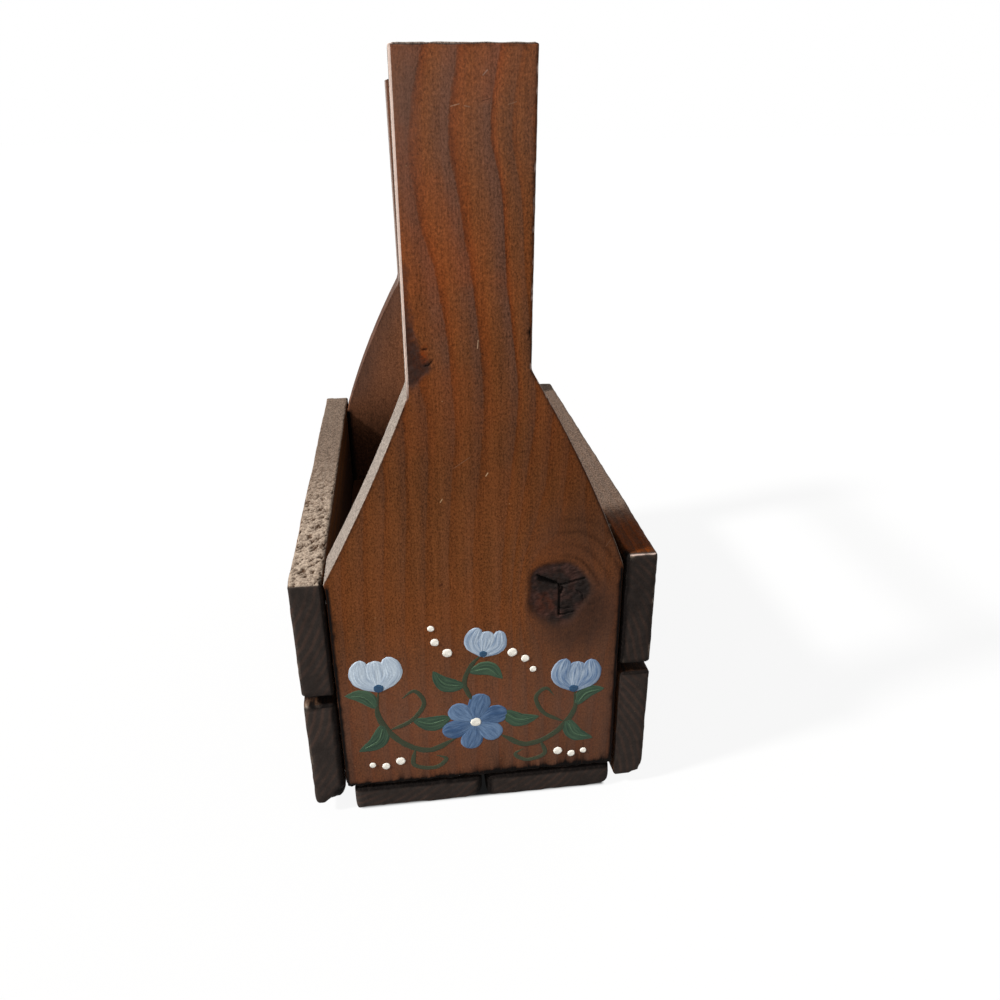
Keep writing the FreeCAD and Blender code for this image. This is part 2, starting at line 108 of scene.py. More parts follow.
@dataclass(frozen=True)
class Wander:
    """Smooth random numbers from 0 to 1 over space, alike on every run."""

    seed: int

    def cells(self, cell: np.ndarray) -> np.ndarray:
        """One random number for each whole-numbered place.

        Args:
            cell: whole-numbered places, n by 3.

        Returns:
            n numbers from 0 to 1.
        """
        mixed = np.bitwise_xor.reduce(cell * np.array(PLACE_PRIMES), axis=1)
        mixed = (mixed ^ (self.seed * SEED_PRIME)) & LARGEST
        for shift, prime in STIRS:
            mixed = ((mixed ^ (mixed >> shift)) * prime) & LARGEST
        return (mixed ^ (mixed >> LAST_SHIFT)) / LARGEST

    def at(self, places: np.ndarray, sizes: Point, layers: int = 1) -> np.ndarray:
        """The numbers at some places.

        Args:
            places: n by 3, in millimetres.
            sizes: the size of one blot along each axis, in millimetres.
            layers: how many times a layer of half the size and strength is added.

        Returns:
            n numbers from 0 to 1.
        """
        total, weight = np.zeros(len(places)), 0.0
        for layer in range(layers):
            strength = 0.5**layer
            spot = places / np.array(sizes) * 2.0**layer + LAYER_SHIFT * layer
            cell = np.floor(spot).astype(np.int64)
            part = spot - cell
            part = part * part * (3 - 2 * part)
            for corner in np.ndindex(2, 2, 2):
                share = np.prod(np.where(corner, part, 1 - part), axis=1)
                total += strength * share * self.cells(cell + np.array(corner))
            weight += strength
        return total / weight


def ease(value: np.ndarray, start: float, end: float) -> np.ndarray:
    """0 before start, 1 after end, and a soft step between them."""
    part = np.clip((value - start) / (end - start), 0, 1)
    return part * part * (3 - 2 * part)


def fade(value: np.ndarray, start: float, end: float) -> np.ndarray:
    """1 before start, 0 after end, and a soft step between them."""
    return 1 - ease(value, start, end)


def ridge(value: np.ndarray, middle: float, width: float) -> np.ndarray:
    """1 in the middle, and less and less to both sides."""
    return np.exp(-(((value - middle) / width) ** 2))


def ebb(value: np.ndarray, width: float) -> np.ndarray:
    """1 up to 0, and less and less past it."""
    return np.exp(-np.maximum(value, 0) / width)


def curve_through(stations: Sequence[float], values: Sequence[float], at: np.ndarray) -> np.ndarray:
    """A smooth line through some values.

    Args:
        stations: rising places of the values.
        values: the line's value at each station.
        at: the places where the line is wanted.

    Returns:
        The line's value at each of them.
    """
    xs, ys = np.array(stations, float), np.array(values, float)
    slopes = np.gradient(ys, xs)
    at = np.clip(at, xs[0], xs[-1])
    i = np.clip(np.searchsorted(xs, at) - 1, 0, len(xs) - 2)
    span = xs[i + 1] - xs[i]
    t = (at - xs[i]) / span
    first = (2 * t**3 - 3 * t**2 + 1) * ys[i] + (t**3 - 2 * t**2 + t) * span * slopes[i]
    return first + (3 * t**2 - 2 * t**3) * ys[i + 1] + (t**3 - t**2) * span * slopes[i + 1]


# ---------------------------------------------------------------- meshes


def new_piece(
    name: str, places: np.ndarray, faces: Sequence, facts: Mapping[str, np.ndarray]
) -> bpy.types.Object:
    """Makes a mesh object.

    Args:
        name: the piece's name.
        places: its points in millimetres, n by 3.
        faces: the point numbers of each face.
        facts: one number per point for each named thing that its finish reads.

    Returns:
        The new object, in the scene.
    """
    mesh = bpy.data.meshes.new(name)
    mesh.from_pydata((places * MM).tolist(), [], [list(face) for face in faces])
    mesh.polygons.foreach_set("use_smooth", np.ones(len(mesh.polygons), bool))
    for fact, numbers in facts.items():
        layer = mesh.attributes.new(fact, "FLOAT", "POINT")
        layer.data.foreach_set("value", np.asarray(numbers, np.float32))
    mesh.update()
    piece = bpy.data.objects.new(name, mesh)
    bpy.context.scene.collection.objects.link(piece)
    return piece


def settle(
    piece: bpy.types.Object, finish: bpy.types.Material, body: Body, slot: Slot, *nodes: str
) -> bpy.types.Object:
    """Gives a piece its finish, lets it ride on its body in place of some nodes, and reports it.

    Args:
        piece: the new piece, in place.
        finish: its material.
        body: the body that it moves with.
        slot: the record's finish for the piece; not used.
        nodes: the nodes that it stands for.

    Returns:
        The piece.
    """
    piece.data.materials.append(finish)
    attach(piece, body.value)
    if nodes:
        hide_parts(*nodes)
    LOG.info("%s: %d faces on %s", piece.name, len(piece.data.polygons), body.value)
    return piece


class Skin:
    """The outside of a block of cells, as quads that share their edges."""

    def __init__(self, cuts: Sequence[np.ndarray]) -> None:
        """Lays out the block.

        Args:
            cuts: the places of the cuts along each axis, from low to high.
        """
        shape = tuple(len(line) for line in cuts)
        outside = np.zeros(shape, bool)
        for axis in range(3):
            for end in (0, -1):
                outside[tuple(end if i == axis else slice(None) for i in range(3))] = True
        number = np.full(shape, -1)
        number[outside] = np.arange(outside.sum())
        self.steps = np.argwhere(outside)
        self.places = np.stack([cuts[axis][self.steps[:, axis]] for axis in range(3)], axis=1)
        sides = []
        for axis in range(3):
            for end in (0, -1):
                side = number[tuple(end if i == axis else slice(None) for i in range(3))]
                quads = np.stack([side[:-1, :-1], side[1:, :-1], side[1:, 1:], side[:-1, 1:]], -1)
                turned = (end == 0) != (axis == 1)
                quads = quads.reshape(-1, 4)
                sides.append(quads[:, ::-1] if turned else quads)
        self.quads = np.concatenate(sides)


@dataclass(frozen=True)
class Detail:
    """A stretch of a board's side that is cut finer."""

    middle: float
    reach: float
    gap: float


RIM = (0.25, 0.55, 0.95, 1.5)
CLOSEST = 0.2


def cuts_along(low: float, high: float, step: float, details: Sequence[Detail] = ()) -> np.ndarray:
    """The places of the cuts along one side of a board.

    Args:
        low: where the side starts.
        high: where it ends.
        step: about how far apart the cuts are.
        details: stretches with finer cuts.

    Returns:
        The places, rising, with close ones by both ends for the rounded arrises.
    """
    rim = [inset for inset in RIM if inset < (high - low) / 2 - 0.3]
    inner_low, inner_high = low + rim[-1], high - rim[-1]
    places = [low + inset for inset in rim] + [high - inset for inset in rim]
    places += list(np.linspace(inner_low, inner_high, max(2, round((inner_high - inner_low) / step)) + 1))
    for detail in details:
        places += list(np.arange(detail.middle - detail.reach, detail.middle + detail.reach, detail.gap))
    kept = [low]
    for place in sorted(places):
        if place - kept[-1] > CLOSEST and high - place > CLOSEST:
            kept.append(place)
    return np.array(kept + [high])


@dataclass(frozen=True)
class NailHead:
    """A sunk nail head in one side of a board."""

    place: Point
    into: Axis
    long_way: Axis
    length: float = 3.0
    width: float = 1.4
    faced: float = 0.9
    reach: float = 3.0

    def nearness(self, places: np.ndarray, normal: np.ndarray, margin: float, soft: float) -> np.ndarray:
        """1 over the head and 0 away from it.

        Args:
            places: the board's points.
            normal: which way each faces.
            margin: how far past the head it stays 1.
            soft: how far it takes to fall to 0.

        Returns:
            One number per point.
        """
        gap = np.zeros(len(places))
        for axis in range(3):
            if axis != self.into.value:
                half = self.length / 2 if axis == self.long_way.value else self.width / 2
                past = np.abs(places[:, axis] - self.place[axis]) - half - margin
                gap = np.maximum(gap, past)
        near = fade(gap, 0, soft) * (np.abs(normal[:, self.into.value]) > self.faced)
        return near * (np.abs(places[:, self.into.value] - self.place[self.into.value]) < self.reach)


# ---------------------------------------------------------------- shaders


Wire = bpy.types.NodeSocket

# sockets that are known by their number, because several of a node share a name
MIX_FIRST, MIX_SECOND, MIX_COLOUR = 6, 7, 2
PIECE_PLACE = 3
FACT_NUMBER = 2


class Value:
    """A number that varies over a surface, so that shader maths reads as an expression."""

    def __init__(self, bench: "Bench", socket: Wire) -> None:
        """Wraps a socket of a material's tree."""
        self.bench, self.socket = bench, socket

    def maths(self, operation: str, *others: "Value | float", first: bool = True) -> "Value":
        """One Math node.

        Args:
            operation: the node's operation.
            others: its other values.
            first: whether this value comes first.

        Returns:
            The result.
        """
        values = (self, *others) if first else (*others, self)
        return self.bench.value("Math", {"operation": operation}, dict(enumerate(values)))

    __add__ = partialmethod(maths, "ADD")
    __radd__ = partialmethod(maths, "ADD", first=False)
    __sub__ = partialmethod(maths, "SUBTRACT")
    __rsub__ = partialmethod(maths, "SUBTRACT", first=False)
    __mul__ = partialmethod(maths, "MULTIPLY")
    __rmul__ = partialmethod(maths, "MULTIPLY", first=False)
    greater = partialmethod(maths, "MAXIMUM")
    fraction = partialmethod(maths, "FRACT")

    def step(self, start: float, end: float) -> "Value":
        """0 before start, 1 after end and a soft step between, in either order."""
        settings = {"interpolation_type": "SMOOTHSTEP", "clamp": True}
        return self.bench.value("MapRange", settings, {0: self, 1: start, 2: end, 3: 0.0, 4: 1.0})

    def held(self) -> "Value":
        """Kept from 0 to 1."""
        return self.bench.value("Clamp", {}, {0: self, 1: 0.0, 2: 1.0})


class Bench:
    """The node tree of one material, where a finish is put together."""

    def __init__(self, name: str = "", world: "bpy.types.World | None" = None) -> None:
        """Starts an empty material, or clears the tree of a world.

        Args:
            name: the material's name.
            world: the world whose tree it is, if it isn't a material's.
        """
        self.material = None if world else bpy.data.materials.new(name)
        owner = world or self.material
        owner.use_nodes = True
        self.tree = owner.node_tree
        self.tree.nodes.clear()

    def add(self, kind: str, settings: Mapping, sockets: Mapping, output: int = 0) -> Wire:
        """Adds one node.

        Args:
            kind: the node's type, without its ShaderNode prefix.
            settings: its own settings, set first. "stops" are a ramp's places and colours.
            sockets: a value, wire, number or colour for each named or numbered input.
            output: the number of the output that is wanted.

        Returns:
            That output.
        """
        node = self.tree.nodes.new("ShaderNode" + kind)
        for key, setting in settings.items():
            if key == "stops":
                ramp = node.color_ramp
                while len(ramp.elements) < len(setting):
                    ramp.elements.new(0.5)
                for element, (place, colour) in zip(ramp.elements, setting):
                    element.position, element.color = place, (*colour, 1)
            else:
                setattr(node, key, setting)
        for key, wanted in sockets.items():
            socket = node.inputs[key]
            wanted = wanted.socket if isinstance(wanted, Value) else wanted
            if isinstance(wanted, Wire):
                self.tree.links.new(wanted, socket)
            elif socket.type == "RGBA":
                socket.default_value = (*wanted[:3], 1)
            else:
                socket.default_value = wanted
        return node.outputs[output] if node.outputs else None

    def value(self, kind: str, settings: Mapping, sockets: Mapping, output: int = 0) -> Value:
        """Adds one node, as above, whose output is a number."""
        return Value(self, self.add(kind, settings, sockets, output))

    def vector(self, operation: str, first: "Wire | Point", other: "Wire | Point", output: int = 0) -> Wire:
        """Adds one Vector Math node for two vectors."""
        return self.add("VectorMath", {"operation": operation}, {0: first, 1: other}, output)

    def place(self) -> Wire:
        """Where a point is on its piece, in metres."""
        return self.add("TexCoord", {}, {}, PIECE_PLACE)

    def fact(self, name: str) -> Value:
        """A number that the mesh holds for each point."""
        return self.value("Attribute", {"attribute_name": name}, {}, FACT_NUMBER)

    def stretched(self, sizes: Point) -> Wire:
        """The place in steps of some millimetres along each axis."""
        return self.vector("MULTIPLY", self.place(), tuple(1 / (MM * size) for size in sizes))

    def noise(self, sizes: Point, detail: float = 2.0, rough: float = 0.5) -> Value:
        """Soft noise from 0 to 1, with blots of a size in millimetres along each axis."""
        sockets = {"Vector": self.stretched(sizes), "Scale": 1.0, "Detail": detail, "Roughness": rough}
        return self.value("TexNoise", {}, sockets)

    def flecks(self, gap: float, radius: float) -> Value:
        """Round flecks of a radius, about a gap apart, in millimetres, 1 in their middles."""
        cells = self.value("TexVoronoi", {}, {"Vector": self.stretched((gap,) * 3), "Scale": 1.0})
        return cells.step(radius / gap, 0.3 * radius / gap)

    def mix(self, share: "Value | float", first: "Wire | Colour", second: "Wire | Colour") -> Wire:
        """The first colour where share is 0, and the second where it is 1."""
        colours = {MIX_FIRST: first, MIX_SECOND: second}
        return self.add("Mix", {"data_type": "RGBA"}, {0: share, **colours}, MIX_COLOUR)

    def dim(self, colour: "Wire | Colour", by: "Value | float") -> Wire:
        """A colour, brighter or darker."""
        return self.add("VectorMath", {"operation": "SCALE"}, {0: colour, 3: by})

    def scratch(self, start: Point, end: Point, width: float) -> Value:
        """A scratch, 1 along its middle.

        Args:
            start: where it starts, in millimetres.
            end: where it ends.
            width: how wide it is.

        Returns:
            Its strength.
        """
        origin = tuple(v * MM for v in start)
        run = tuple((b - a) * MM for a, b in zip(start, end))
        reach = self.vector("SUBTRACT", self.place(), origin)
        along = Value(self, self.vector("DOT_PRODUCT", reach, run, output=1))
        nearest = self.dim(run, (along * (1 / sum(v * v for v in run))).held())
        away = Value(self, self.vector("DISTANCE", reach, nearest, output=1))
        return away.step(0.5 * width * MM, 0.1 * width * MM)

    def finish(self, shader_inputs: Mapping, relief: Value, depth: float) -> bpy.types.Material:
        """Joins the surface to the output.

        Args:
            shader_inputs: the values of the surface's own sockets.
            relief: how high the surface stands, from 0 to 1.
            depth: what 1 is, in millimetres.

        Returns:
            The finished material.
        """
        bump = self.add("Bump", {}, {"Height": relief, "Strength": 1.0, "Distance": depth * MM})
        surface = self.add("BsdfPrincipled", {}, {**shader_inputs, "Normal": bump})
        self.add("OutputMaterial", {}, {"Surface": surface})
        return self.material


Stops = tuple[tuple[float, Colour], ...]


@dataclass(frozen=True)
class Scratch:
    """A pale or dark mark on a face, in millimetres."""

    start: Point
    end: Point
    width: float
    colour: Colour
    strength: float = 0.8


@dataclass(frozen=True)
class StainedPine:
    """Pine under oil stain: rings, fibres, end grain, sawn edges, knots, grime, painted light and shade."""

    name: str
    fibre: Axis
    rings: Stops
    even: Colour = shade(98, 57, 29)
    dull: Colour = shade(104, 76, 64)
    flame_red: Colour = shade(126, 62, 30)
    end_dark: Colour = shade(47, 41, 38)
    end_line: Colour = shade(78, 57, 48)
    sawn_dark: Colour = shade(88, 72, 60)
    sawn_light: Colour = shade(158, 140, 124)
    # the pale of sanded sides and tops, which on the slats' tops is partly painted light
    sanded_lit_colour: Colour = shade(150, 134, 122)
    # the pale of rubbed and chipped edges, also used as a painted highlight
    rubbed_and_lit: Colour = shade(208, 184, 172)
    grime: Colour = shade(14, 11, 10)
    knot: Colour = shade(40, 34, 32)
    knot_heart: Colour = shade(66, 46, 41)
    bruise_dark: Colour = shade(28, 21, 21)
    bruise_light: Colour = shade(60, 44, 39)
    ember: Colour = shade(122, 54, 20)
    fleck: Colour = shade(168, 138, 104)
    # the tint that the painted shadow multiplies into the wood
    painted_shadow_tint: Colour = (0.92, 0.54, 0.09)
    contrast: float = 1.0
    flecks: float = 0.45
    flame: float = 0.0
    scratches: tuple[Scratch, ...] = ()
    sheen: float = 0.03
    relief: float = 0.14

    def wood(self, bench: Bench, turn: Value, speckle: Value, coarse: Value, fibres: Value) -> Wire:
        """The stained wood of a face.

        Args:
            bench: the finish's bench.
            turn: how far a point is from one growth ring to the next.
            speckle: the finest noise.
            coarse: the next finest.
            fibres: the noise along the fibres.

        Returns:
            Its colour.
        """
        streaks = bench.noise(self.fibre.sizes(2.6, 110), 3.0, 0.55)
        blotches = bench.noise((26, 26, 26), 3.0)
        tone = bench.add("ValToRGB", {"stops": self.rings}, {0: turn})
        tone = bench.mix(blotches.step(0.38, 0.62) * self.flame, tone, self.flame_red)
        tone = bench.mix(bench.fact("calm"), tone, self.even)
        light = 1 + (fibres - 0.5) * 0.75 + (streaks - 0.5) * 0.6 + (speckle - 0.5) * 2.3
        light = light + (blotches - 0.5) * 0.35 + (coarse - 0.5) * 0.3
        tone = bench.dim(tone, 1 + (light - 1) * self.contrast)
        dull = bench.dim(self.dull, 0.75 + speckle * 0.5)
        tone = bench.mix((bench.fact("grey") * (0.6 + coarse * 0.8)).held(), tone, dull)
        # deep darkens the wood: real tone changes, and painted shade on the rear board's inner face; below
        # zero it is a painted sheen on the neck's top
        tone = bench.dim(tone, 1 - bench.fact("deep") * (0.7 + coarse * 0.6))
        # painted shadow: the wood turns darker and more golden where the front board's shadow falls on a
        # slat's top
        return bench.mix(bench.fact("dusk"), tone, bench.vector("MULTIPLY", tone, self.painted_shadow_tint))

    def knots(self, bench: Bench, tone: Wire) -> Wire:
        """Adds the knot and the scar.

        Args:
            bench: the finish's bench.
            tone: the wood's colour.

        Returns:
            The colour with both.
        """
        knot, scar = bench.fact("knot"), bench.fact("scar")
        burl = bench.noise((2.2, 2.2, 2.2), 4.0, 0.7)
        patch = bench.noise((6, 6, 6), 2.0)
        wrinkle = bench.noise((1.6, 6, 0.5), 2.0, 0.6)
        heart = bench.mix(patch.step(0.4, 0.66), self.knot, self.knot_heart)
        heart = bench.dim(heart, 0.3 + burl * 0.9 + (wrinkle.step(0.3, 0.7) - 0.5) * 0.4)
        tone = bench.mix((knot * (0.8 + burl * 0.4)).held(), tone, heart)
        share = (burl.step(0.4, 0.62) * 0.6 + wrinkle * 0.5).held()
        bruise = bench.mix(share, self.bruise_dark, self.bruise_light)
        tone = bench.mix((scar * (0.45 + burl * 0.8)).held(), tone, bruise)
        return bench.mix((bench.fact("red") * burl.step(0.3, 0.62)).held(), tone, self.ember)

    def build(self) -> bpy.types.Material:
        """Puts the finish together.

        Returns:
            The material.
        """
        bench = Bench(self.name)
        fibres = bench.noise(self.fibre.sizes(0.5, 13), 3.0, 0.6)
        speckle = bench.noise(self.fibre.sizes(0.62, 0.95), 2.0, 0.75)
        coarse = bench.noise((2.0, 2.0, 2.0), 2.0, 0.6)
        wobble = bench.noise(self.fibre.sizes(3.2, 60), 3.0, 0.5)
        turn = (bench.fact("ring") + (wobble - 0.5) * 0.25 + (coarse - 0.5) * 0.09).fraction()
        tone = self.knots(bench, self.wood(bench, turn, speckle, coarse, fibres))

        line = turn.step(0.0, 0.3) * turn.step(0.7, 0.35)
        patch = bench.noise((12, 12, 12), 3.0, 0.5)
        cut = bench.mix(line * patch.step(0.3, 0.6) * 0.34, self.end_dark, self.end_line)
        cut = bench.dim(cut, 0.15 + speckle * 0.6 + coarse * 0.5 + patch * 0.6 - bench.fact("deep") * 0.5)
        tone = bench.mix(bench.fact("endgrain"), tone, cut)

        pit, sawn, smooth = bench.fact("pit"), bench.fact("sawn"), bench.fact("smooth")
        grain = speckle.step(0.36, 0.64)
        lit = (grain * 0.5 + coarse * 0.55 + 0.1 - pit * 0.95).held()
        pale = bench.mix(lit, self.sawn_dark, self.sawn_light)
        # sanded pale, and on the slats' tops partly painted light
        sanded_lit_tone = bench.dim(bench.mix(coarse * 0.6, self.sanded_lit_colour, self.sawn_dark), 0.5 + grain * 1.02)
        tone = bench.mix((sawn * (0.6 + coarse * 0.8)).held(), tone, pale)
        tone = bench.mix(smooth, tone, sanded_lit_tone)
        # pale rubbed and chipped edges, with a painted highlight on the neck's lit left arris and a slat's
        # front top rim
        tone = bench.mix(bench.fact("bare"), tone, bench.dim(self.rubbed_and_lit, 0.8 + coarse * 0.4))

        smear = bench.noise(self.fibre.sizes(0.9, 5), 3.0, 0.7)
        tone = bench.mix(bench.flecks(8.5, 0.3) * self.flecks * (1 - sawn).held(), tone, self.fleck)
        for mark in self.scratches:
            drawn = bench.scratch(mark.start, mark.end, mark.width) * (0.3 + speckle * 1.2)
            tone = bench.mix((drawn * mark.strength).held(), tone, mark.colour)
        # real grime and dark joints, with painted shade on sheltered sides and inside the box
        tone = bench.mix((bench.fact("grime") * (0.5 + smear * 1.1)).held(), tone, self.grime)

        rough = (0.68 + (coarse - 0.5) * 0.3 + sawn * 0.2).held()
        sockets = {"Base Color": tone, "Roughness": rough, "Specular IOR Level": self.sheen}
        return bench.finish(sockets, fibres * 0.4 + speckle * 0.4 + coarse * 0.3, self.relief)


@dataclass(frozen=True)
class CraftPaint:
    """Thick craft paint, laid on with a brush that carries two colours."""

    name: str
    pigment: Colour
    light: Colour
    sheen: float = 0.2
    relief: float = 0.22

    def build(self) -> bpy.types.Material:
        """Puts the finish together.

        Returns:
            The material.
        """
        bench = Bench(self.name)
        along, across, mood = bench.fact("along"), bench.fact("across"), bench.fact("shade")
        track = bench.add("CombineXYZ", {}, {0: along * 1.6, 1: across * 3.6, 2: mood * 37})
        bristles = bench.value("TexNoise", {}, {"Vector": track, "Scale": 1.4, "Detail": 3.0})
        grit = bench.noise((0.5, 0.5, 0.5), 2.0)
        share = (mood + (bristles - 0.5) * 1.5).held()
        tone = bench.dim(bench.mix(share, self.pigment, self.light), 0.82 + grit * 0.36)
        rough = (0.42 + bristles * 0.3).held()
        sockets = {"Base Color": tone, "Roughness": rough, "Specular IOR Level": self.sheen}
        return bench.finish(sockets, bristles * 0.8 + grit * 0.2, self.relief)


@dataclass(frozen=True)
class DulledSteel:
    """Bare steel that has lost its shine, with brown spots."""

    name: str = "dulled_steel"
    steel: Colour = (0.42, 0.40, 0.37)
    rust: Colour = shade(74, 44, 28)
    relief: float = 0.05

    def build(self) -> bpy.types.Material:
        """Puts the finish together.

        Returns:
            The material.
        """
        bench = Bench(self.name)
        rust = bench.noise((1.2, 1.2, 1.2), 4.0, 0.65).step(0.45, 0.66)
        brushed = bench.noise((0.2, 0.2, 2.0), 2.0)
        tone = bench.mix(rust * 0.8, bench.dim(self.steel, 0.6 + brushed * 0.8), self.rust)
        metallic, rough = (0.9 - rust * 0.8).held(), (0.38 + rust * 0.4).held()
        sockets = {"Base Color": tone, "Metallic": metallic, "Roughness": rough}
        return bench.finish(sockets, brushed + rust, self.relief)


# ---------------------------------------------------------------- boards


class Salt(IntEnum):
    """What a board uses random numbers for. Each use has numbers of its own."""

    FACE = 0
    END = 1
    HOLLOW = 2
    RING = 3
    CHAFED = 4
    ARRIS = 5
    TORN = 8
    TORN_FINE = 9
    FOOT_CHIP = 11
    SIDE = 12
    LUMP = 13
    CHIP = 14
    SCAR = 15
    RUN = 16
    EMBER = 17
    ARRIS_GRIME = 18
    PATCH = 19
    JOINT = 20
    NECK_CHIP = 21


@dataclass(frozen=True)
class Blunt:
    """A long corner of a board that is worn or broken away, most at the front end."""

    x_side: int
    z_side: int
    radius: float
    reach: float = 400.0

    def weight(self, places: np.ndarray, low: np.ndarray, high: np.ndarray) -> np.ndarray:
        """1 by the corner and 0 away from it.

        Args:
            places: the board's points.
            low: the board's lowest corner.
            high: its highest corner.

        Returns:
            One number per point.
        """
        across = places[:, 0] - (high if self.x_side > 0 else low)[0]
        up = places[:, 2] - (high if self.z_side > 0 else low)[2]
        near = fade(np.maximum(np.abs(across), np.abs(up)), 0.9 * self.radius, 1.5 * self.radius)
        return near * (1 - 0.7 * ease(places[:, 1] - low[1], 0.3 * self.reach, self.reach))


@dataclass
class Plank:
    """A board with worn arrises that stands for one node. Sizes are in millimetres."""

    name: str
    body: Body
    slot: Slot
    fibre: Axis
    step: Point = (2.4, 2.4, 2.4)
    arris: float = 1.1
    worn: float = 0.7
    end_depth: float = 0.35
    face_depth: float = 0.2
    ripple: float = 0.0
    pith: Point = (0.0, 0.0, -60.0)
    ring_gap: float = 3.0
    # how pale the top is: rough-sawn wood, partly painted light where the key light falls
    sawn_lit_top: float = 0.0
    # how pale the top is past the given reach: sanded wood, partly painted light
    sanded_lit_top: float = 0.0
    sanded_lit_from: Pair = (26.0, 56.0)
    fuzz: float = 0.0
    chafe: float = 0.3
    end_dark: float = 1.0
    end_deep: float = 0.0
    # painted shadow on the near part of the top, where the front board's shadow falls
    dusk: float = 0.0
    # painted light: a pale patch on the top at the front end, in the gap under the slat above
    lit_ledge: float = 0.0
    # a pale rim on the front top arris, partly chafed and partly a painted highlight
    crest: float = 0.0
    # painted shade on the sides that face other parts or the box's inside; the sign gives the side
    shaded_sides: Point = (0.0, 0.0, 0.0)
    blunt: tuple[Blunt, ...] = ()
    heads: tuple[NailHead, ...] = ()
    seed: int = 1

    def __post_init__(self) -> None:
        """Reads where the node is."""
        self.low, self.high = (np.array(corner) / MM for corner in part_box(self.name))

    def stray(self, salt: Salt, places: np.ndarray, sizes: Point, layers: int = 2) -> np.ndarray:
        """The board's own random numbers at some places, others for each salt."""
        return Wander(self.seed + salt).at(places, sizes, layers)

    def cuts(self) -> list[np.ndarray]:
        """The cuts along each axis, finer over the nail heads."""
        fine = [
            [Detail(head.place[axis], 2.6, 0.45) for head in self.heads if head.into.value != axis]
            for axis in range(3)
        ]
        return [cuts_along(*side) for side in zip(self.low, self.high, self.step, fine)]

    def shaped(self, skin: Skin) -> tuple[np.ndarray, np.ndarray, np.ndarray]:
        """The block's points on the board's outline, with the low and high side at each."""
        shape = skin.places.shape
        return skin.places, np.broadcast_to(self.low, shape), np.broadcast_to(self.high, shape)

    def roundness(self, places: np.ndarray) -> np.ndarray:
        """How round the arris is.

        Args:
            places: the board's points.

        Returns:
            The arris's radius at each of them.
        """
        stray = self.stray(Salt.ARRIS, places, (5, 5, 5))
        radius = self.arris + self.worn * (stray - 0.5) * 2
        if self.blunt:
            radius = radius + 0.9 * fade(places[:, 1] - self.low[1], 2, 8)
        for corner in self.blunt:
            weight = corner.weight(places, self.low, self.high)
            radius = radius + weight * (corner.radius * (0.75 + 0.5 * stray) - radius)
        return radius

    def endwise(self, normal: np.ndarray) -> np.ndarray:
        """1 where a point faces along the fibres, with most of the arris."""
        return ease(np.abs(normal[:, self.fibre.value]), 0.15, 0.5)

    def topness(self, normal: np.ndarray) -> np.ndarray:
        """1 on the top edge."""
        return ease(normal[:, 2], 0.5, 0.85)

    def nearby(self, places: np.ndarray) -> np.ndarray:
        """1 by the front end and 0.3 at the back, for how rough the saw left the top."""
        return 1 - 0.7 * ease(places[:, 1], self.low[1] + 30, self.low[1] + 150)

    def torn(self, places: np.ndarray) -> np.ndarray:
        """Torn fibres left by a coarse saw.

        Args:
            places: the board's points.

        Returns:
            Slanting pits, from 0 to 1.
        """
        slant = places.copy()
        slant[:, 1] -= 1.2 * places[:, 0]
        coarse = self.stray(Salt.TORN, slant, (2.3, 2.3, 9))
        fine = self.stray(Salt.TORN_FINE, slant, (1.0, 1.1, 5))
        return np.clip(2.4 * (coarse - 0.5) + 3.2 * (fine - 0.5), 0, 1)

    def depth(self, places: np.ndarray, normal: np.ndarray) -> np.ndarray:
        """How deep the surface is worn or cut in.

        Args:
            places: the board's points.
            normal: which way each faces.

        Returns:
            The depth at each.
        """
        end = self.endwise(normal)
        faces = self.face_depth * self.stray(Salt.FACE, places, self.fibre.sizes(4, 40), 3)
        if self.ripple:
            hollow = np.clip(self.stray(Salt.HOLLOW, places, (7, 26, 5), 3) - 0.42, 0, 1)
            inner = ease(normal[:, 0] * np.sign(self.shaded_sides[0]), 0.3, 0.9)
            faces = faces + self.ripple * hollow * 2.4 * (1 - inner)
        deep = faces * (1 - end) + self.end_depth * self.stray(Salt.END, places, (2.4, 2.4, 2.4), 3) * end
        if self.fuzz:
            deep = deep + self.fuzz * self.torn(places) * self.topness(normal) * self.nearby(places)
        for head in self.heads:
            over = head.nearness(places, normal, 0.35, 0.6)
            deep = deep * (1 - over) + 0.5 * over
        return deep

    def rings(self, places: np.ndarray) -> np.ndarray:
        """Counts the growth rings.

        Args:
            places: the board's points.

        Returns:
            How many rings lie between the pith and each point.
        """
        away = places - np.array(self.pith)
        away[:, self.fibre.value] = 0
        wobble = self.stray(Salt.RING, places, self.fibre.sizes(14, 90)) - 0.5
        return np.linalg.norm(away, axis=1) / self.ring_gap + wobble * 0.9

    def soiled_and_shaded(self, places: np.ndarray, normal: np.ndarray) -> np.ndarray:
        """The grime round the nail heads, and painted shade on the sides that face other parts or the box's
        inside, darker further below a tall slat's top.

        Args:
            places: the board's points.
            normal: which way each faces.

        Returns:
            1 where it is black.
        """
        grime = np.zeros(len(places))
        for head in self.heads:
            grime = np.maximum(grime, 0.9 * head.nearness(places, normal, 0.2, 1.6))
        to_end = np.minimum(places[:, 1] - self.low[1], self.high[1] - places[:, 1])
        for axis, side in enumerate(self.shaded_sides):
            if side:
                facing = normal[:, axis] * np.sign(side)
                tall = axis == 0 and self.high[2] - self.low[2] > 20
                # on a tall slat the painted shade darkens further below its top
                below = ease(self.high[2] - places[:, 2], 3, 28) if tall else 1.0
                painted_shade = ease(facing, 0.1, 0.5) * (0.3 + 0.7 * below)
                if tall:
                    painted_shade = np.maximum(painted_shade, fade(to_end, 2, 10) * ease(facing, 0.1, 0.4))
                grime = np.maximum(grime, abs(side) * painted_shade)
        return grime

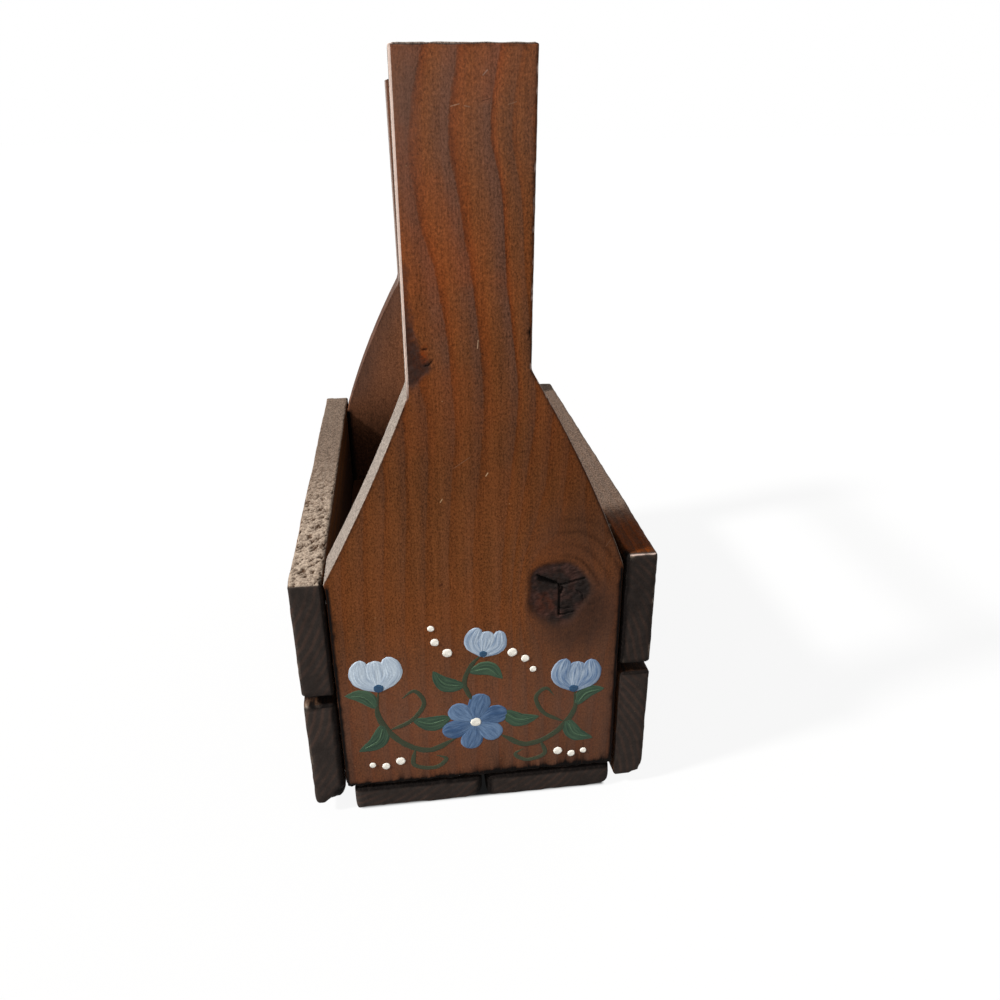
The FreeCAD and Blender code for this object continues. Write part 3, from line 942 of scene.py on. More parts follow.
    def facts(self, places: np.ndarray, normal: np.ndarray) -> Facts:
        """What the finish reads.

        Args:
            places: the board's points.
            normal: which way each faces.

        Returns:
            One number per point for each named thing.
        """
        inward = places[:, 1] - self.low[1]
        edge = fade(np.abs(normal).max(axis=1), 0.86, 0.985)
        chafed = self.stray(Salt.CHAFED, places, (3, 3, 3))
        top, end, near = self.topness(normal), self.endwise(normal), self.nearby(places)
        # the top turns pale past here, which on the upper right slat is where the painted shadow ends
        turned = ease(inward, *self.sanded_lit_from)
        sawn = self.sawn_lit_top * top * (1 - 0.45 * (1 - near))
        sawn = sawn + edge * (1 - top) * ease(chafed, 0.55, 0.8) * self.chafe * (1 - 0.6 * end)
        # painted light on the lower slat's top at its front end, though the slat above shades it
        lit_ledge = ease(normal[:, 2], 0.3, 0.7) * fade(places[:, 0] - self.low[0], 2, 9) * self.lit_ledge
        lit_ledge = lit_ledge * fade(inward, 1.5, 8) * ease(chafed, 0.3, 0.6)
        # the pale front top rim: chafed, and partly a painted highlight
        crest = self.crest * ridge(normal[:, 2], 0.72, 0.1) * ease(-normal[:, 1], 0.3, 0.5)
        return {
            "ring": self.rings(places),
            "endgrain": end * self.end_dark,
            "sawn": sawn + lit_ledge * 0.45,
            "smooth": self.sanded_lit_top * top * turned,
            # painted shadow on the top, short of where it turns pale
            "dusk": self.dusk * top * (1 - end) * (1 - turned),
            "pit": (self.torn(places) if self.fuzz else 0) * top * near,
            "grime": self.soiled_and_shaded(places, normal) * (1 - lit_ledge),
            "deep": end * self.end_deep,
            "bare": crest * ease(chafed, 0.05, 0.35),
        }

    def build(self, finish: bpy.types.Material) -> bpy.types.Object:
        """Makes the board.

        Args:
            finish: its material.

        Returns:
            The new piece, riding on its body.
        """
        skin = Skin(self.cuts())
        places, low, high = self.shaped(skin)
        radius = np.clip(self.roundness(places), 0.25, (self.high - self.low).min() * 0.49)[:, None]
        core = np.clip(places, low + radius, high - radius)
        normal = places - core
        normal /= np.linalg.norm(normal, axis=1, keepdims=True)
        places = core + normal * radius
        facts = self.facts(places, normal)
        places = places - normal * self.depth(places, normal)[:, None]
        piece = new_piece(self.name + "_wood", places, skin.quads, facts)
        return settle(piece, finish, self.body, self.slot, self.name)


@dataclass(frozen=True)
class Crack:
    """A crack along some points of a face, as its place across and its height."""

    run: Run
    width: float
    deep: float

    def nearness(self, across: np.ndarray, up: np.ndarray) -> np.ndarray:
        """1 in the crack and 0 past its width.

        Args:
            across: places from the board's middle.
            up: heights above its foot.

        Returns:
            One number per place.
        """
        gap = np.full(len(across), 1e9)
        for (x0, z0), (x1, z1) in zip(self.run, self.run[1:]):
            dx, dz = x1 - x0, z1 - z0
            t = np.clip(((across - x0) * dx + (up - z0) * dz) / (dx * dx + dz * dz), 0, 1)
            gap = np.minimum(gap, np.hypot(across - x0 - t * dx, up - z0 - t * dz))
        return fade(gap, 0.15 * self.width, self.width)


@dataclass(frozen=True)
class Shoulder:
    """One side of the pattern that both end boards are sawn to, in millimetres above the foot."""

    root: float
    foot: float
    bulge: float
    blend: float
    flare: float
    spread: float = 0.0


HOLLOW = Shoulder(root=168.5, foot=98.5, bulge=-1.2, blend=0.2, flare=-0.2, spread=0.6)
SWOLLEN = Shoulder(root=176.5, foot=96.5, bulge=2.3, blend=0.5, flare=1.4)
OVERCUT = Shoulder(root=172.0, foot=96.5, bulge=2.3, blend=0.5, flare=1.0, spread=0.4)


@dataclass(frozen=True)
class Blot:
    """An oval mark on the front face, by its middle and its half sizes across and up."""

    across: float
    up: float
    wide: float
    high: float

    def gap(self, across: np.ndarray, up: np.ndarray) -> np.ndarray:
        """How far some places are from its middle, where 1 is its rim."""
        return np.hypot((across - self.across) / self.wide, (up - self.up) / self.high)


@dataclass
class EndBoard(Plank):
    """A paddle-shaped end board: a foot as wide as the box, shoulders, and a neck for the handle."""

    middle: float = -8.65
    foot: float = 12.0
    neck: float = 42.0
    neck_shift: float = -1.0
    corner: float = 0.8
    left: Shoulder = HOLLOW
    right: Shoulder = SWOLLEN
    turns: tuple[float, ...] = (98.5, 96.5, 168.5, 176.5)
    front: bool = True
    set_back: float = 0.42
    knot_at: Pair = (31.4, 89.3)
    knot_size: float = 12.3
    heights: tuple[float, ...] = (12, 60, 112, 140, 167, 190, 210, 230, 250, 274)
    ring_lines: tuple[tuple[float, ...], ...] = (
        (-22.5, -21, -18.5, -16.7, -17.5, -23, -26, -29, -30, -28),
        (-11.5, -11, -9.8, -7.5, -7.0, -8.6, -11.8, -16.8, -17.7, -12.6),
        (-2.5, -2, -0.4, 1.8, 3.5, 2.2, -0.6, -3.7, -6.1, -2.8),
        (7.5, 8.5, 11, 13.7, 15.8, 13, 11, 9.9, 7.2, 10.3),
    )
    above_slats: Pair = (97.0, 99.0)
    neck_root: Pair = (166.0, 176.0)
    knot_squash: float = 0.88
    ring_squash: float = 0.62
    ring_gaps: Pair = (7.8, 6.4)
    ring_lean: float = 0.22
    cracks: tuple[Crack, ...] = (
        Crack(((22.8, 96.4), (25.6, 94.6), (31.7, 91.2), (36.4, 92.4), (41.4, 93.6)), 0.45, 1.3),
        Crack(((24.0, 94.8), (26.8, 93.4), (29.8, 92.1)), 1.5, 1.2),
        Crack(((31.9, 91.0), (33.0, 89.6), (32.0, 87.8)), 0.85, 1.2),
        Crack(((31.6, 91.0), (31.6, 85.0), (31.6, 78.2)), 0.5, 1.3),
        Crack(((31.6, 78.0), (34.4, 78.2), (37.4, 78.9)), 0.5, 0.9),
        Crack(((31.7, 80.8), (33.7, 80.6), (35.8, 80.9)), 0.42, 0.6),
        Crack(((38.2, 88.6), (40.4, 86.8), (41.0, 84.2)), 0.3, 0.5),
        Crack(((-17.2, 184.6), (-15.8, 185.1), (-14.6, 184.6)), 0.3, 0.3),
        Crack(((-13.6, 180.8), (-14.6, 179.6), (-15.9, 179.2)), 0.42, 0.5),
        Crack(((20.6, 191.0), (19.2, 189.2), (20.4, 187.0)), 0.9, 0.6),
    )
    ember_at: Blot = Blot(-16.1, 183.2, 1.7, 3.2)
    stain_at: Blot = Blot(25.6, 83.2, 4.6, 5.0)
    smudge_at: Blot = Blot(37, 78, 19, 21)
    cloud_at: Blot = Blot(38, 112, 20, 17)
    knot_arcs: Run = ((1.17, 0.3), (1.53, 0.22), (1.94, 0.3), (2.32, 0.18))
    bruise: Run = (
        (168, -23), (172, -19.8), (176, -14.8), (178.5, -12.8), (180.5, -14), (184.5, -16.8),
        (189, -17.8), (194, -18.6), (199, -19.4), (205, -20), (212, -20.6), (217, -23),
    )

    def flat(self, places: np.ndarray) -> tuple[np.ndarray, np.ndarray]:
        """How far each point is across from the board's middle and up from its foot."""
        return places[:, 0] - self.middle, places[:, 2] - self.foot

    def cuts(self) -> list[np.ndarray]:
        """Lays out the cuts, finer over the knots and by the shoulders' ends.

        Returns:
            The cuts along each axis.
        """
        wide, high = self.high[0] - self.low[0], self.high[2]
        across, up = [], [Detail(self.foot + turn, 2.4, 0.6) for turn in self.turns]
        up.append(Detail(high - 2, 2, 0.4))
        if self.front:
            across = [Detail(wide / 2 + self.knot_at[0], 13, 0.42), Detail(wide / 2 - 17, 6, 0.5)]
            spots = ((self.knot_at[1], 13, 0.46), (182, 11, 0.5), (3, 3, 0.55))
            up += [Detail(self.foot + middle, reach, gap) for middle, reach, gap in spots]
        return [
            cuts_along(0.0, wide, self.step[0], across),
            cuts_along(self.low[1], self.high[1], self.step[1]),
            cuts_along(self.low[2], high, self.step[2], up),
        ]

    def side(self, up: np.ndarray, left: bool) -> np.ndarray:
        """Where the board's left or right side is.

        Args:
            up: heights above the board's foot.
            left: which side.

        Returns:
            The side's x at each height.
        """
        sign, shoulder = (-1.0, self.left) if left else (1.0, self.right)
        wide, top = (self.high[0] - self.low[0]) / 2, self.high[2] - self.foot
        root = self.neck / 2 + sign * self.neck_shift + shoulder.spread
        climb = (up - shoulder.foot) / (shoulder.root - shoulder.foot)
        share = np.clip(climb, 0, 1)
        slope = wide + (root - wide) * climb + shoulder.bulge * 4 * share * (1 - share)
        narrow = root + shoulder.flare * np.clip((up - shoulder.root) / (top - shoulder.root), 0, 1)
        rise = (slope - narrow) / 2
        reach = np.minimum(narrow + rise + np.sqrt(rise**2 + shoulder.blend**2 / 4), wide)
        over = np.clip(up - (top - self.corner), 0, self.corner)
        return self.middle + sign * (reach - self.corner + np.sqrt(self.corner**2 - over**2))

    def shaped(self, skin: Skin) -> tuple[np.ndarray, np.ndarray, np.ndarray]:
        """Bends the block to the paddle outline.

        Args:
            skin: the block.

        Returns:
            Its points on the outline, with the low and high side at each.
        """
        places = skin.places.copy()
        across, up = places[:, 0], places[:, 2] - self.foot
        left, right = self.side(up, True), self.side(up, False)
        wide, rim, now = self.high[0] - self.low[0], RIM[-1], right - left
        scaled = rim + (across - rim) * (now - 2 * rim) / (wide - 2 * rim)
        scaled = np.where(across > wide - rim, now - (wide - across), scaled)
        scaled = np.where(across < rim, across, scaled)
        places[:, 0] = left + scaled
        low, high = (np.tile(corner, (len(places), 1)) for corner in (self.low, self.high))
        low[:, 0], high[:, 0] = left, right
        return places, low, high

    def roundness(self, places: np.ndarray) -> np.ndarray:
        """How round the arris is, with the foot's broken edge.

        Args:
            places: the board's points.

        Returns:
            The arris's radius at each of them.
        """
        radius, (across, up) = super().roundness(places), self.flat(places)
        chips = self.stray(Salt.FOOT_CHIP, places, (2.2, 8, 8))
        if self.front:
            radius = radius + fade(up, 94, 100) * (0.5 + 1.4 * chips)
        bare = ease(up, 165, 175) * ease(-across, 8, 14)
        return radius + fade(up, 1, 4) * chips**2 * 1.5 + bare * (1.05 - radius)

    def spot(self, places: np.ndarray) -> np.ndarray:
        """How far each point is from the knot's middle.

        Args:
            places: the board's points.

        Returns:
            The distances, where 1 is the knot's rim.
        """
        across, up = self.flat(places) - np.array(self.knot_at)[:, None]
        angle = np.arctan2(up, across)
        lumps = 1 + 0.05 * np.sin(3 * angle + 0.8) + 0.04 * np.sin(5 * angle + 2)
        return np.hypot(across, (up + 0.9) * self.knot_squash) / (self.knot_size * lumps)

    def depth(self, places: np.ndarray, normal: np.ndarray) -> np.ndarray:
        """How deep the surface is worn in, with the knot's cracks and the set-back of the face.

        Args:
            places: the board's points.
            normal: which way each faces.

        Returns:
            The depth at each.
        """
        across, up = self.flat(places)
        sides = ease(np.abs(normal[:, 0]), 0.6, 0.9)
        worn = 0.4 * fade(up, 96, 100) * self.front + 0.12 * self.stray(Salt.SIDE, places, (1.2, 1.2, 1.2))
        deep = super().depth(places, normal) + sides * worn
        if self.front:
            spot, lumps = self.spot(places), self.stray(Salt.LUMP, places, (2.2, 9, 1.6), 3)
            chips = self.stray(Salt.CHIP, places, (1.3, 9, 3))
            marks = self.set_back + fade(spot, 0.9, 1.05) * (0.05 + 0.85 * lumps)
            marks = marks + 0.25 * ridge(spot, 1.0, 0.06) * lumps
            marks = marks + sum(crack.deep * crack.nearness(across, up) for crack in self.cracks)
            marks = marks + 0.45 * lumps * ease(self.scar(places), 0.6, 1.0)
            marks = marks + 0.5 * fade(up, 0.4, 1.6 + 2.2 * chips) * ease(chips, 0.35, 0.75)
            deep = deep + marks * ease(-normal[:, 1], 0.3, 0.9)
        return deep

    def scar(self, places: np.ndarray) -> np.ndarray:
        """The dark bruise by the neck's left side, round a small broken knot.

        Args:
            places: the board's points.

        Returns:
            1 in the bruise.
        """
        across, up = self.flat(places)
        wander = self.stray(Salt.SCAR, places, (2.2, 9, 3.4), 3) - 0.5
        bruise = fade(across - curve_through(*zip(*self.bruise), up) + wander * 4.0, -2.4, 1.2)
        return bruise * ease(up, 167, 174) * (1 - 0.25 * ease(up, 190, 203) - 0.75 * ease(up, 209, 219))

    def ember(self, places: np.ndarray) -> np.ndarray:
        """The red in the small broken knot, and less of it in the large knot's lower left.

        Args:
            places: the board's points.

        Returns:
            1 where it is reddest.
        """
        across, up = self.flat(places)
        wander = self.stray(Salt.EMBER, places, (2, 9, 2)) - 0.5
        away = self.ember_at.gap(across, up) + wander * 1.1
        stain = self.stain_at.gap(across, up) + wander * 0.8
        return np.maximum(fade(away, 0.4, 1.25), 0.17 * fade(stain, 0.5, 1.2))

    def rings(self, places: np.ndarray) -> np.ndarray:
        """Counts the growth rings along the listed lines, parting round the knot.

        Args:
            places: the board's points.

        Returns:
            The count at each.
        """
        across, up = self.flat(places)
        across = across + (places[:, 1] - self.low[1]) * self.ring_lean
        if self.front:
            dx, dz = across - self.knot_at[0], (up - self.knot_at[1]) * self.ring_squash
            rho = np.maximum(np.hypot(dx, dz), 0.5 * self.knot_size)
            pushed = dx * np.minimum(0.85, (0.98 * self.knot_size / rho) ** 2)
            across = across - pushed * ease(across, 8, 22)
        across = across + (self.stray(Salt.RING, places, (12, 30, 34), 3) - 0.5) * 2.2
        lines = [curve_through(self.heights, line, up) for line in self.ring_lines]
        count = (across - lines[0]) / self.ring_gaps[0]
        for i, line in enumerate(lines):
            gap = lines[i + 1] - line if i + 1 < len(lines) else self.ring_gaps[1]
            count = np.where(across >= line, i + (across - line) / gap, count)
        return count + 20

    def joints(self, places: np.ndarray, gap: np.ndarray) -> np.ndarray:
        """The black of the joints and of the top edge.

        Args:
            places: the board's points.
            gap: how far each is from the board's side.

        Returns:
            1 where it is black.
        """
        across, up = self.flat(places)
        runs, stray = self.stray(Salt.RUN, places, (1.3, 9, 30)), self.stray(Salt.JOINT, places, (3, 9, 3))
        lower = fade(up, 94, 101)
        side = 1.4 * ebb(gap - 1.6 - 1.6 * (stray - 0.4), 0.55) * lower
        band = 0.4 * ebb(gap - 1.5, 2.6) * lower * (0.4 + stray)
        outline = 0.65 * ebb(gap - 0.7, 0.35) * (1 - lower) * (0.3 + stray)
        outline = outline * (1 - ease(up, 164, 176) * ease(-across, 8, 14))
        damp = 0.35 + 0.65 * ease(places[:, 0], -30, 30)
        bleed = 1.4 * ebb(up - 1.3 - 1.8 * stray, 0.3 + 13 * damp * runs**3)
        crest = 0.75 * stray * ebb(self.high[2] - places[:, 2] - 0.5 - 0.5 * stray, 0.4)
        return np.clip(np.max([side, band, outline, bleed, crest], axis=0), 0, 1)

    def facts(self, places: np.ndarray, normal: np.ndarray) -> Facts:
        """What the finish reads, with the knots, the grime of the joints, and painted light and shade.

        Args:
            places: the board's points.
            normal: which way each faces.

        Returns:
            One number per point for each named thing.
        """
        facts = super().facts(places, normal)
        (across, up), (right, back, _) = self.flat(places), normal.T
        face, top = ease(np.abs(back), 0.2, 0.8), self.topness(normal)
        sides = ease(np.abs(right), 0.8, 0.97) * ease(up, *self.above_slats)
        if not self.front:
            sides = sides * np.where(across < 0, ease(up, 150, 180), 1.0)
        # the neck's left arris faces the key light and is painted pale: partly rubbed wood, partly a
        # painted highlight
        neck_left = ease(-right, 0.12, 0.4) * ease(up, *self.neck_root) * (1 - top)
        chipped = ease(self.stray(Salt.NECK_CHIP, places, (1.4, 1.4, 2.6)), 0.62, 0.74) * ease(up, 150, 190)
        chipped = chipped * ease(right, 0.15, 0.5) * ease(-back, 0.15, 0.5)
        rubbed_and_lit = neck_left * fade(-right, 0.9, 0.99) * (0.85 if self.front else 0.35)
        facts["bare"] = np.maximum(rubbed_and_lit, chipped * 0.7)
        facts["smooth"] = np.max([0.95 * sides, neck_left, 0.85 * top], axis=0)
        facts["endgrain"] = facts["endgrain"] * (1 - top)
        gap = np.minimum(places[:, 0] - self.side(up, True), self.side(up, False) - places[:, 0])
        arris = (1 - face) * (1 - sides) * (1 - top) * (1 - neck_left)
        arris = arris * self.stray(Salt.ARRIS_GRIME, places, (2, 2, 9))
        # painted shade: the right-facing arris, turned away from the key light, is darkened
        rim = ease(right, 0.12, 0.4) * fade(right, 0.9, 0.99) * ease(-back, 0.1, 0.3)
        arris = np.maximum(arris, 0.6 * rim * (1 - top) * (1 - chipped))
        arris = arris * ease(up, *self.above_slats)
        # hollow is painted shade on the board's sides below the slats' tops
        joints, hollow = self.joints(places, gap) * face, (1 - face) * fade(up, 95, 99)
        grime = [facts["grime"], joints, 0.9 * arris, hollow]
        patchy = self.stray(Salt.PATCH, places, (14, 40, 22))
        if self.front:
            front = ease(-back, 0.3, 0.8)
            spot, above = self.spot(places) + (patchy - 0.5) * 0.2, up - self.knot_at[1]
            lower = 0.12 * fade(above, -8, 0)
            facts["knot"] = front * fade(spot, 0.86 - lower, 1.08 + lower)
            facts["scar"], facts["red"] = self.scar(places) * front, self.ember(places) * front
            last = curve_through(self.heights, self.ring_lines[-1], up)
            past = ease(across - last, 1.0, 5.0) * ease(up, 150, 185)
            calm = 0.1 + 0.64 * fade(up, 120, 215) - 0.24 * fade(up, 20, 70)
            facts["calm"] = calm + (0.6 - calm) * past * (calm < 0.6)
            grey, deep = self.face_tones(places, patchy)
            grime += [front * crack.nearness(across, up) for crack in self.cracks]
        else:
            facts["calm"] = 0.92 - 0.55 * ease(back, 0, 1)
            grey = 0.5 * fade(gap, 2, 16) * ease(up, 97, 110)
            # painted shade on the rear board's inner face, darker below the slats' tops
            deep = (0.66 * fade(up, 74, 118) + 0.12 * fade(up, 112, 165)) * ease(-back, 0.3, 0.9)
        facts["grime"] = np.max(grime, axis=0)
        facts["grey"] = np.clip(grey * (0.75 + 0.5 * patchy), 0, 0.9)
        # the negative part is a painted sheen that lightens the top of the neck
        facts["deep"] = np.clip(deep - 0.14 * ease(up, 205, 262), -0.14, 0.92)
        return facts

    def face_tones(self, places: np.ndarray, patchy: np.ndarray) -> tuple[np.ndarray, np.ndarray]:
        """How grey and how dark the front face is from place to place, with a painted sheen greying the top
        of the neck.

        Args:
            places: the board's points.
            patchy: soft patches from 0 to 1.

        Returns:
            The grey and the dark, from 0 to 1.
        """
        across, up = self.flat(places)
        right, low, left = ease(across, 8, 46), fade(up, 32, 86), ease(-across, 12, 18)
        smudge = fade(self.smudge_at.gap(across, up), 0.45, 1.15) * (0.55 + 0.6 * patchy)
        cloud = fade(self.cloud_at.gap(across, up), 0.3, 1.2) * 0.5
        # the first term greys the neck's top as part of a painted sheen
        grey = (0.2 + 0.3 * left) * ease(up, 205, 266) + 0.4 * low + 0.55 * smudge + 0.35 * cloud
        grey = grey + 0.3 * right * fade(up, 60, 130) * (1 - 0.6 * low)
        deep = 0.26 * right * fade(up, 150, 175) + 0.13 * fade(up, 150, 220) * ease(up, 110, 150)
        deep = deep + 0.1 * left * ease(up, 205, 250) + 0.07 * low * (1 - right)
        deep = deep + 0.17 * fade(up, 2, 36) * (1 - 0.6 * right) + 0.5 * smudge + 0.3 * cloud
        above = ease(up - self.knot_at[1], -2, 5) * ease(across - self.knot_at[0], -12, 8) * (0.35 + patchy)
        for radius, strength in self.knot_arcs:
            deep = deep + strength * above * ridge(self.spot(places), radius, 0.05)
        return grey, deep

    def face_at(self, across: np.ndarray, up: np.ndarray) -> np.ndarray:
        """The front face, for what is painted on it.

        Args:
            across: places from the board's middle.
            up: heights above its foot.

        Returns:
            The face's y at each place.
        """
        places = np.stack([across + self.middle, np.full(len(across), self.low[1]), up + self.foot], axis=1)
        return self.low[1] + self.depth(places, np.tile([0.0, -1.0, 0.0], (len(across), 1)))


# ---------------------------------------------------------------- turned pieces


@dataclass
class Turning:
    """A piece turned on a lathe. Sizes are in millimetres."""

    name: str
    body: Body
    slot: Slot
    along: Axis
    start: Point
    profile: Run
    rounds: int = 72
    per_run: int = 6
    worn: float = 0.1
    ring_gap: float = 2.6
    pith: Pair = (14.0, -9.0)
    seed: int = 3

    def build(self, finish: bpy.types.Material) -> bpy.types.Object:
        """Makes the piece.

        Args:
            finish: its material.

        Returns:
            The new piece, riding on its body.
        """
        stations = np.arange(len(self.profile))
        at = np.linspace(0, stations[-1], stations[-1] * self.per_run + 1)
        reach, radius = (curve_through(stations, column, at) for column in zip(*self.profile))
        radius = np.maximum(radius, 0.02)[:, None]
        angle = np.linspace(0, 2 * math.pi, self.rounds, endpoint=False)
        one, two = (axis for axis in range(3) if axis != self.along.value)
        places = np.zeros((len(at), self.rounds, 3))
        places[..., self.along.value] = reach[:, None]
        places[..., one], places[..., two] = radius * np.cos(angle), radius * np.sin(angle)
        flat = places.reshape(-1, 3)
        dent = Wander(self.seed).at(flat, self.along.sizes(5, 16), 2) * self.worn
        away = np.hypot(flat[:, one], flat[:, two])
        flat[:, [one, two]] *= 1 - np.minimum(dent / np.maximum(away, 0.1), 0.5)[:, None]
        number = np.arange(len(flat)).reshape(len(at), self.rounds)
        beside = np.roll(number, -1, axis=1)
        quads = np.stack([number[:-1], beside[:-1], beside[1:], number[1:]], -1).reshape(-1, 4)
        faces = [*quads, number[0][::-1], number[-1]]
        if self.along is Axis.Y:
            faces = [face[::-1] for face in faces]
        away = np.hypot(flat[:, one] - self.pith[0], flat[:, two] - self.pith[1])
        wobble = Wander(self.seed + 1).at(flat, self.along.sizes(6, 60), 2)
        handled = Wander(self.seed + 2).at(flat, self.along.sizes(9, 40), 2)
        facts = {"ring": away / self.ring_gap + wobble + 10, "grime": 0.35 * ease(handled, 0.45, 0.8)}
        piece = new_piece(self.name + "_turned", flat + np.array(self.start), faces, facts)
        return settle(piece, finish, self.body, self.slot, self.name)


# ---------------------------------------------------------------- the painted garland


class Tip(Enum):
    """How a brush stroke ends."""

    LEAF = "leaf"
    PETAL = "petal"
    VINE = "vine"
    DOT = "dot"


class Paint(Enum):
    """The garland's paints, each as its pigment and the light colour that the brush picks up."""

    LEAF_GREEN = (shade(24, 46, 34), shade(72, 96, 72))
    OLIVE = (shade(36, 46, 30), shade(60, 62, 42))
    MIDDLE_BLUE = (shade(48, 74, 108), shade(112, 136, 166))
    PALE_BLUE = (shade(84, 108, 140), shade(196, 208, 218))
    WHITE = (shade(206, 200, 188), shade(232, 228, 218))
    DEEP_BLUE = (shade(28, 54, 82), shade(52, 88, 118))


@dataclass(frozen=True)
class Stroke:
    """One stroke of a loaded brush on the board's face, in millimetres across and up."""

    run: Run
    width: float
    tip: Tip
    mood: float
    thick: float = 0.2
    loops: int = 26
    round_points: int = 20
    widest: float = 0.62
    sunk: float = 0.12
    proud: float = 0.03
    edge_seed: int = 41
    bristle_seed: int = 43

    def girth(self, t: np.ndarray) -> np.ndarray:
        """How wide the stroke is.

        Args:
            t: places along its run, from 0 to 1.

        Returns:
            Half of its width at each.
        """
        if self.tip is Tip.LEAF:
            shape = np.sin(np.pi * t**0.85) ** 0.8
        elif self.tip is Tip.PETAL:
            rise = 0.34 + 0.66 * np.sin(np.pi / 2 * np.clip(t / self.widest, 0, 1)) ** 1.2
            close = np.clip(t - self.widest, 0, 1) / (1 - self.widest)
            shape = rise * np.sqrt(np.maximum(1 - close**2, 0))
        elif self.tip is Tip.DOT:
            shape = np.sqrt(1 - (2 * t - 1) ** 2)
        else:
            shape = np.clip(np.minimum(t / 0.12, (1 - t) / 0.3), 0.12, 1) ** 0.7
        return np.maximum(shape, 0.03) * self.width / 2

    def mesh(self, board: EndBoard, start: int) -> tuple[np.ndarray, list[np.ndarray], Facts]:
        """Lays the stroke on a board.

        Args:
            board: the board that it lies on.
            start: the number of its first point.

        Returns:
            Its points, faces and facts.
        """
        stations, t = np.arange(len(self.run)), np.linspace(0, 1, self.loops)
        at = t * stations[-1]
        line = np.stack([curve_through(stations, column, at) for column in zip(*self.run)], axis=1)
        way = np.gradient(line, axis=0)
        way /= np.maximum(np.linalg.norm(way, axis=1, keepdims=True), 1e-6)
        cross = np.stack([-way[:, 1], way[:, 0]], axis=1)
        angle = np.linspace(0, 2 * math.pi, self.round_points, endpoint=False) + 0.01
        rounds, along = np.tile(np.cos(angle), self.loops), np.repeat(t, self.round_points)
        girth = np.repeat(self.girth(t), self.round_points)
        side = np.repeat(cross, self.round_points, axis=0) * rounds[:, None]
        flat = np.repeat(line, self.round_points, axis=0) + side * girth[:, None]
        layer = np.full(len(flat), self.mood * 50)
        solid = np.stack([flat[:, 0], layer, flat[:, 1]], axis=1)
        edge = Wander(self.edge_seed).at(solid, (1.6, 3, 1.6), 2) - 0.5
        flat = flat + side * (edge * np.minimum(0.5, 0.16 * self.width))[:, None]
        track = np.stack([along * 3, rounds * 5, layer], axis=1)
        bristle = Wander(self.bristle_seed).at(track, (1, 1, 1), 2)
        swell = np.clip(girth / (0.25 * self.width + 0.05), 0.25, 1)
        lift = np.tile(np.maximum(np.sin(angle), 0) ** 0.7, self.loops)
        height = lift * self.thick * swell * (0.55 + 0.75 * bristle)
        face = board.face_at(*flat.T)
        above = np.maximum(face + self.proud - height, board.low[1] + self.proud)
        y = np.where(np.tile(np.sin(angle) < 0, self.loops), face + self.sunk, above)
        places = np.stack([flat[:, 0] + board.middle, y, flat[:, 1] + board.foot], axis=1)
        number = np.arange(len(places)).reshape(self.loops, self.round_points) + start
        beside = np.roll(number, -1, axis=1)
        quads = np.stack([number[:-1], number[1:], beside[1:], beside[:-1]], -1).reshape(-1, 4)
        facts = {"along": along, "across": rounds, "shade": np.full(len(places), self.mood)}
        return places, [*quads, number[0], number[-1][::-1]], facts


def beside(start: Pair, end: Pair, share: float, out: float) -> Pair:
    """A place some share of the way from start to end, and another share of that way out to its side."""
    dx, dz = end[0] - start[0], end[1] - start[1]
    return start[0] + share * dx - out * dz, start[1] + share * dz + out * dx


def away(start: Pair, reach: float, angle: float) -> Pair:
    """A place some reach away from another, at an angle in degrees."""
    turn = math.radians(angle)
    return start[0] + reach * math.cos(turn), start[1] + reach * math.sin(turn)


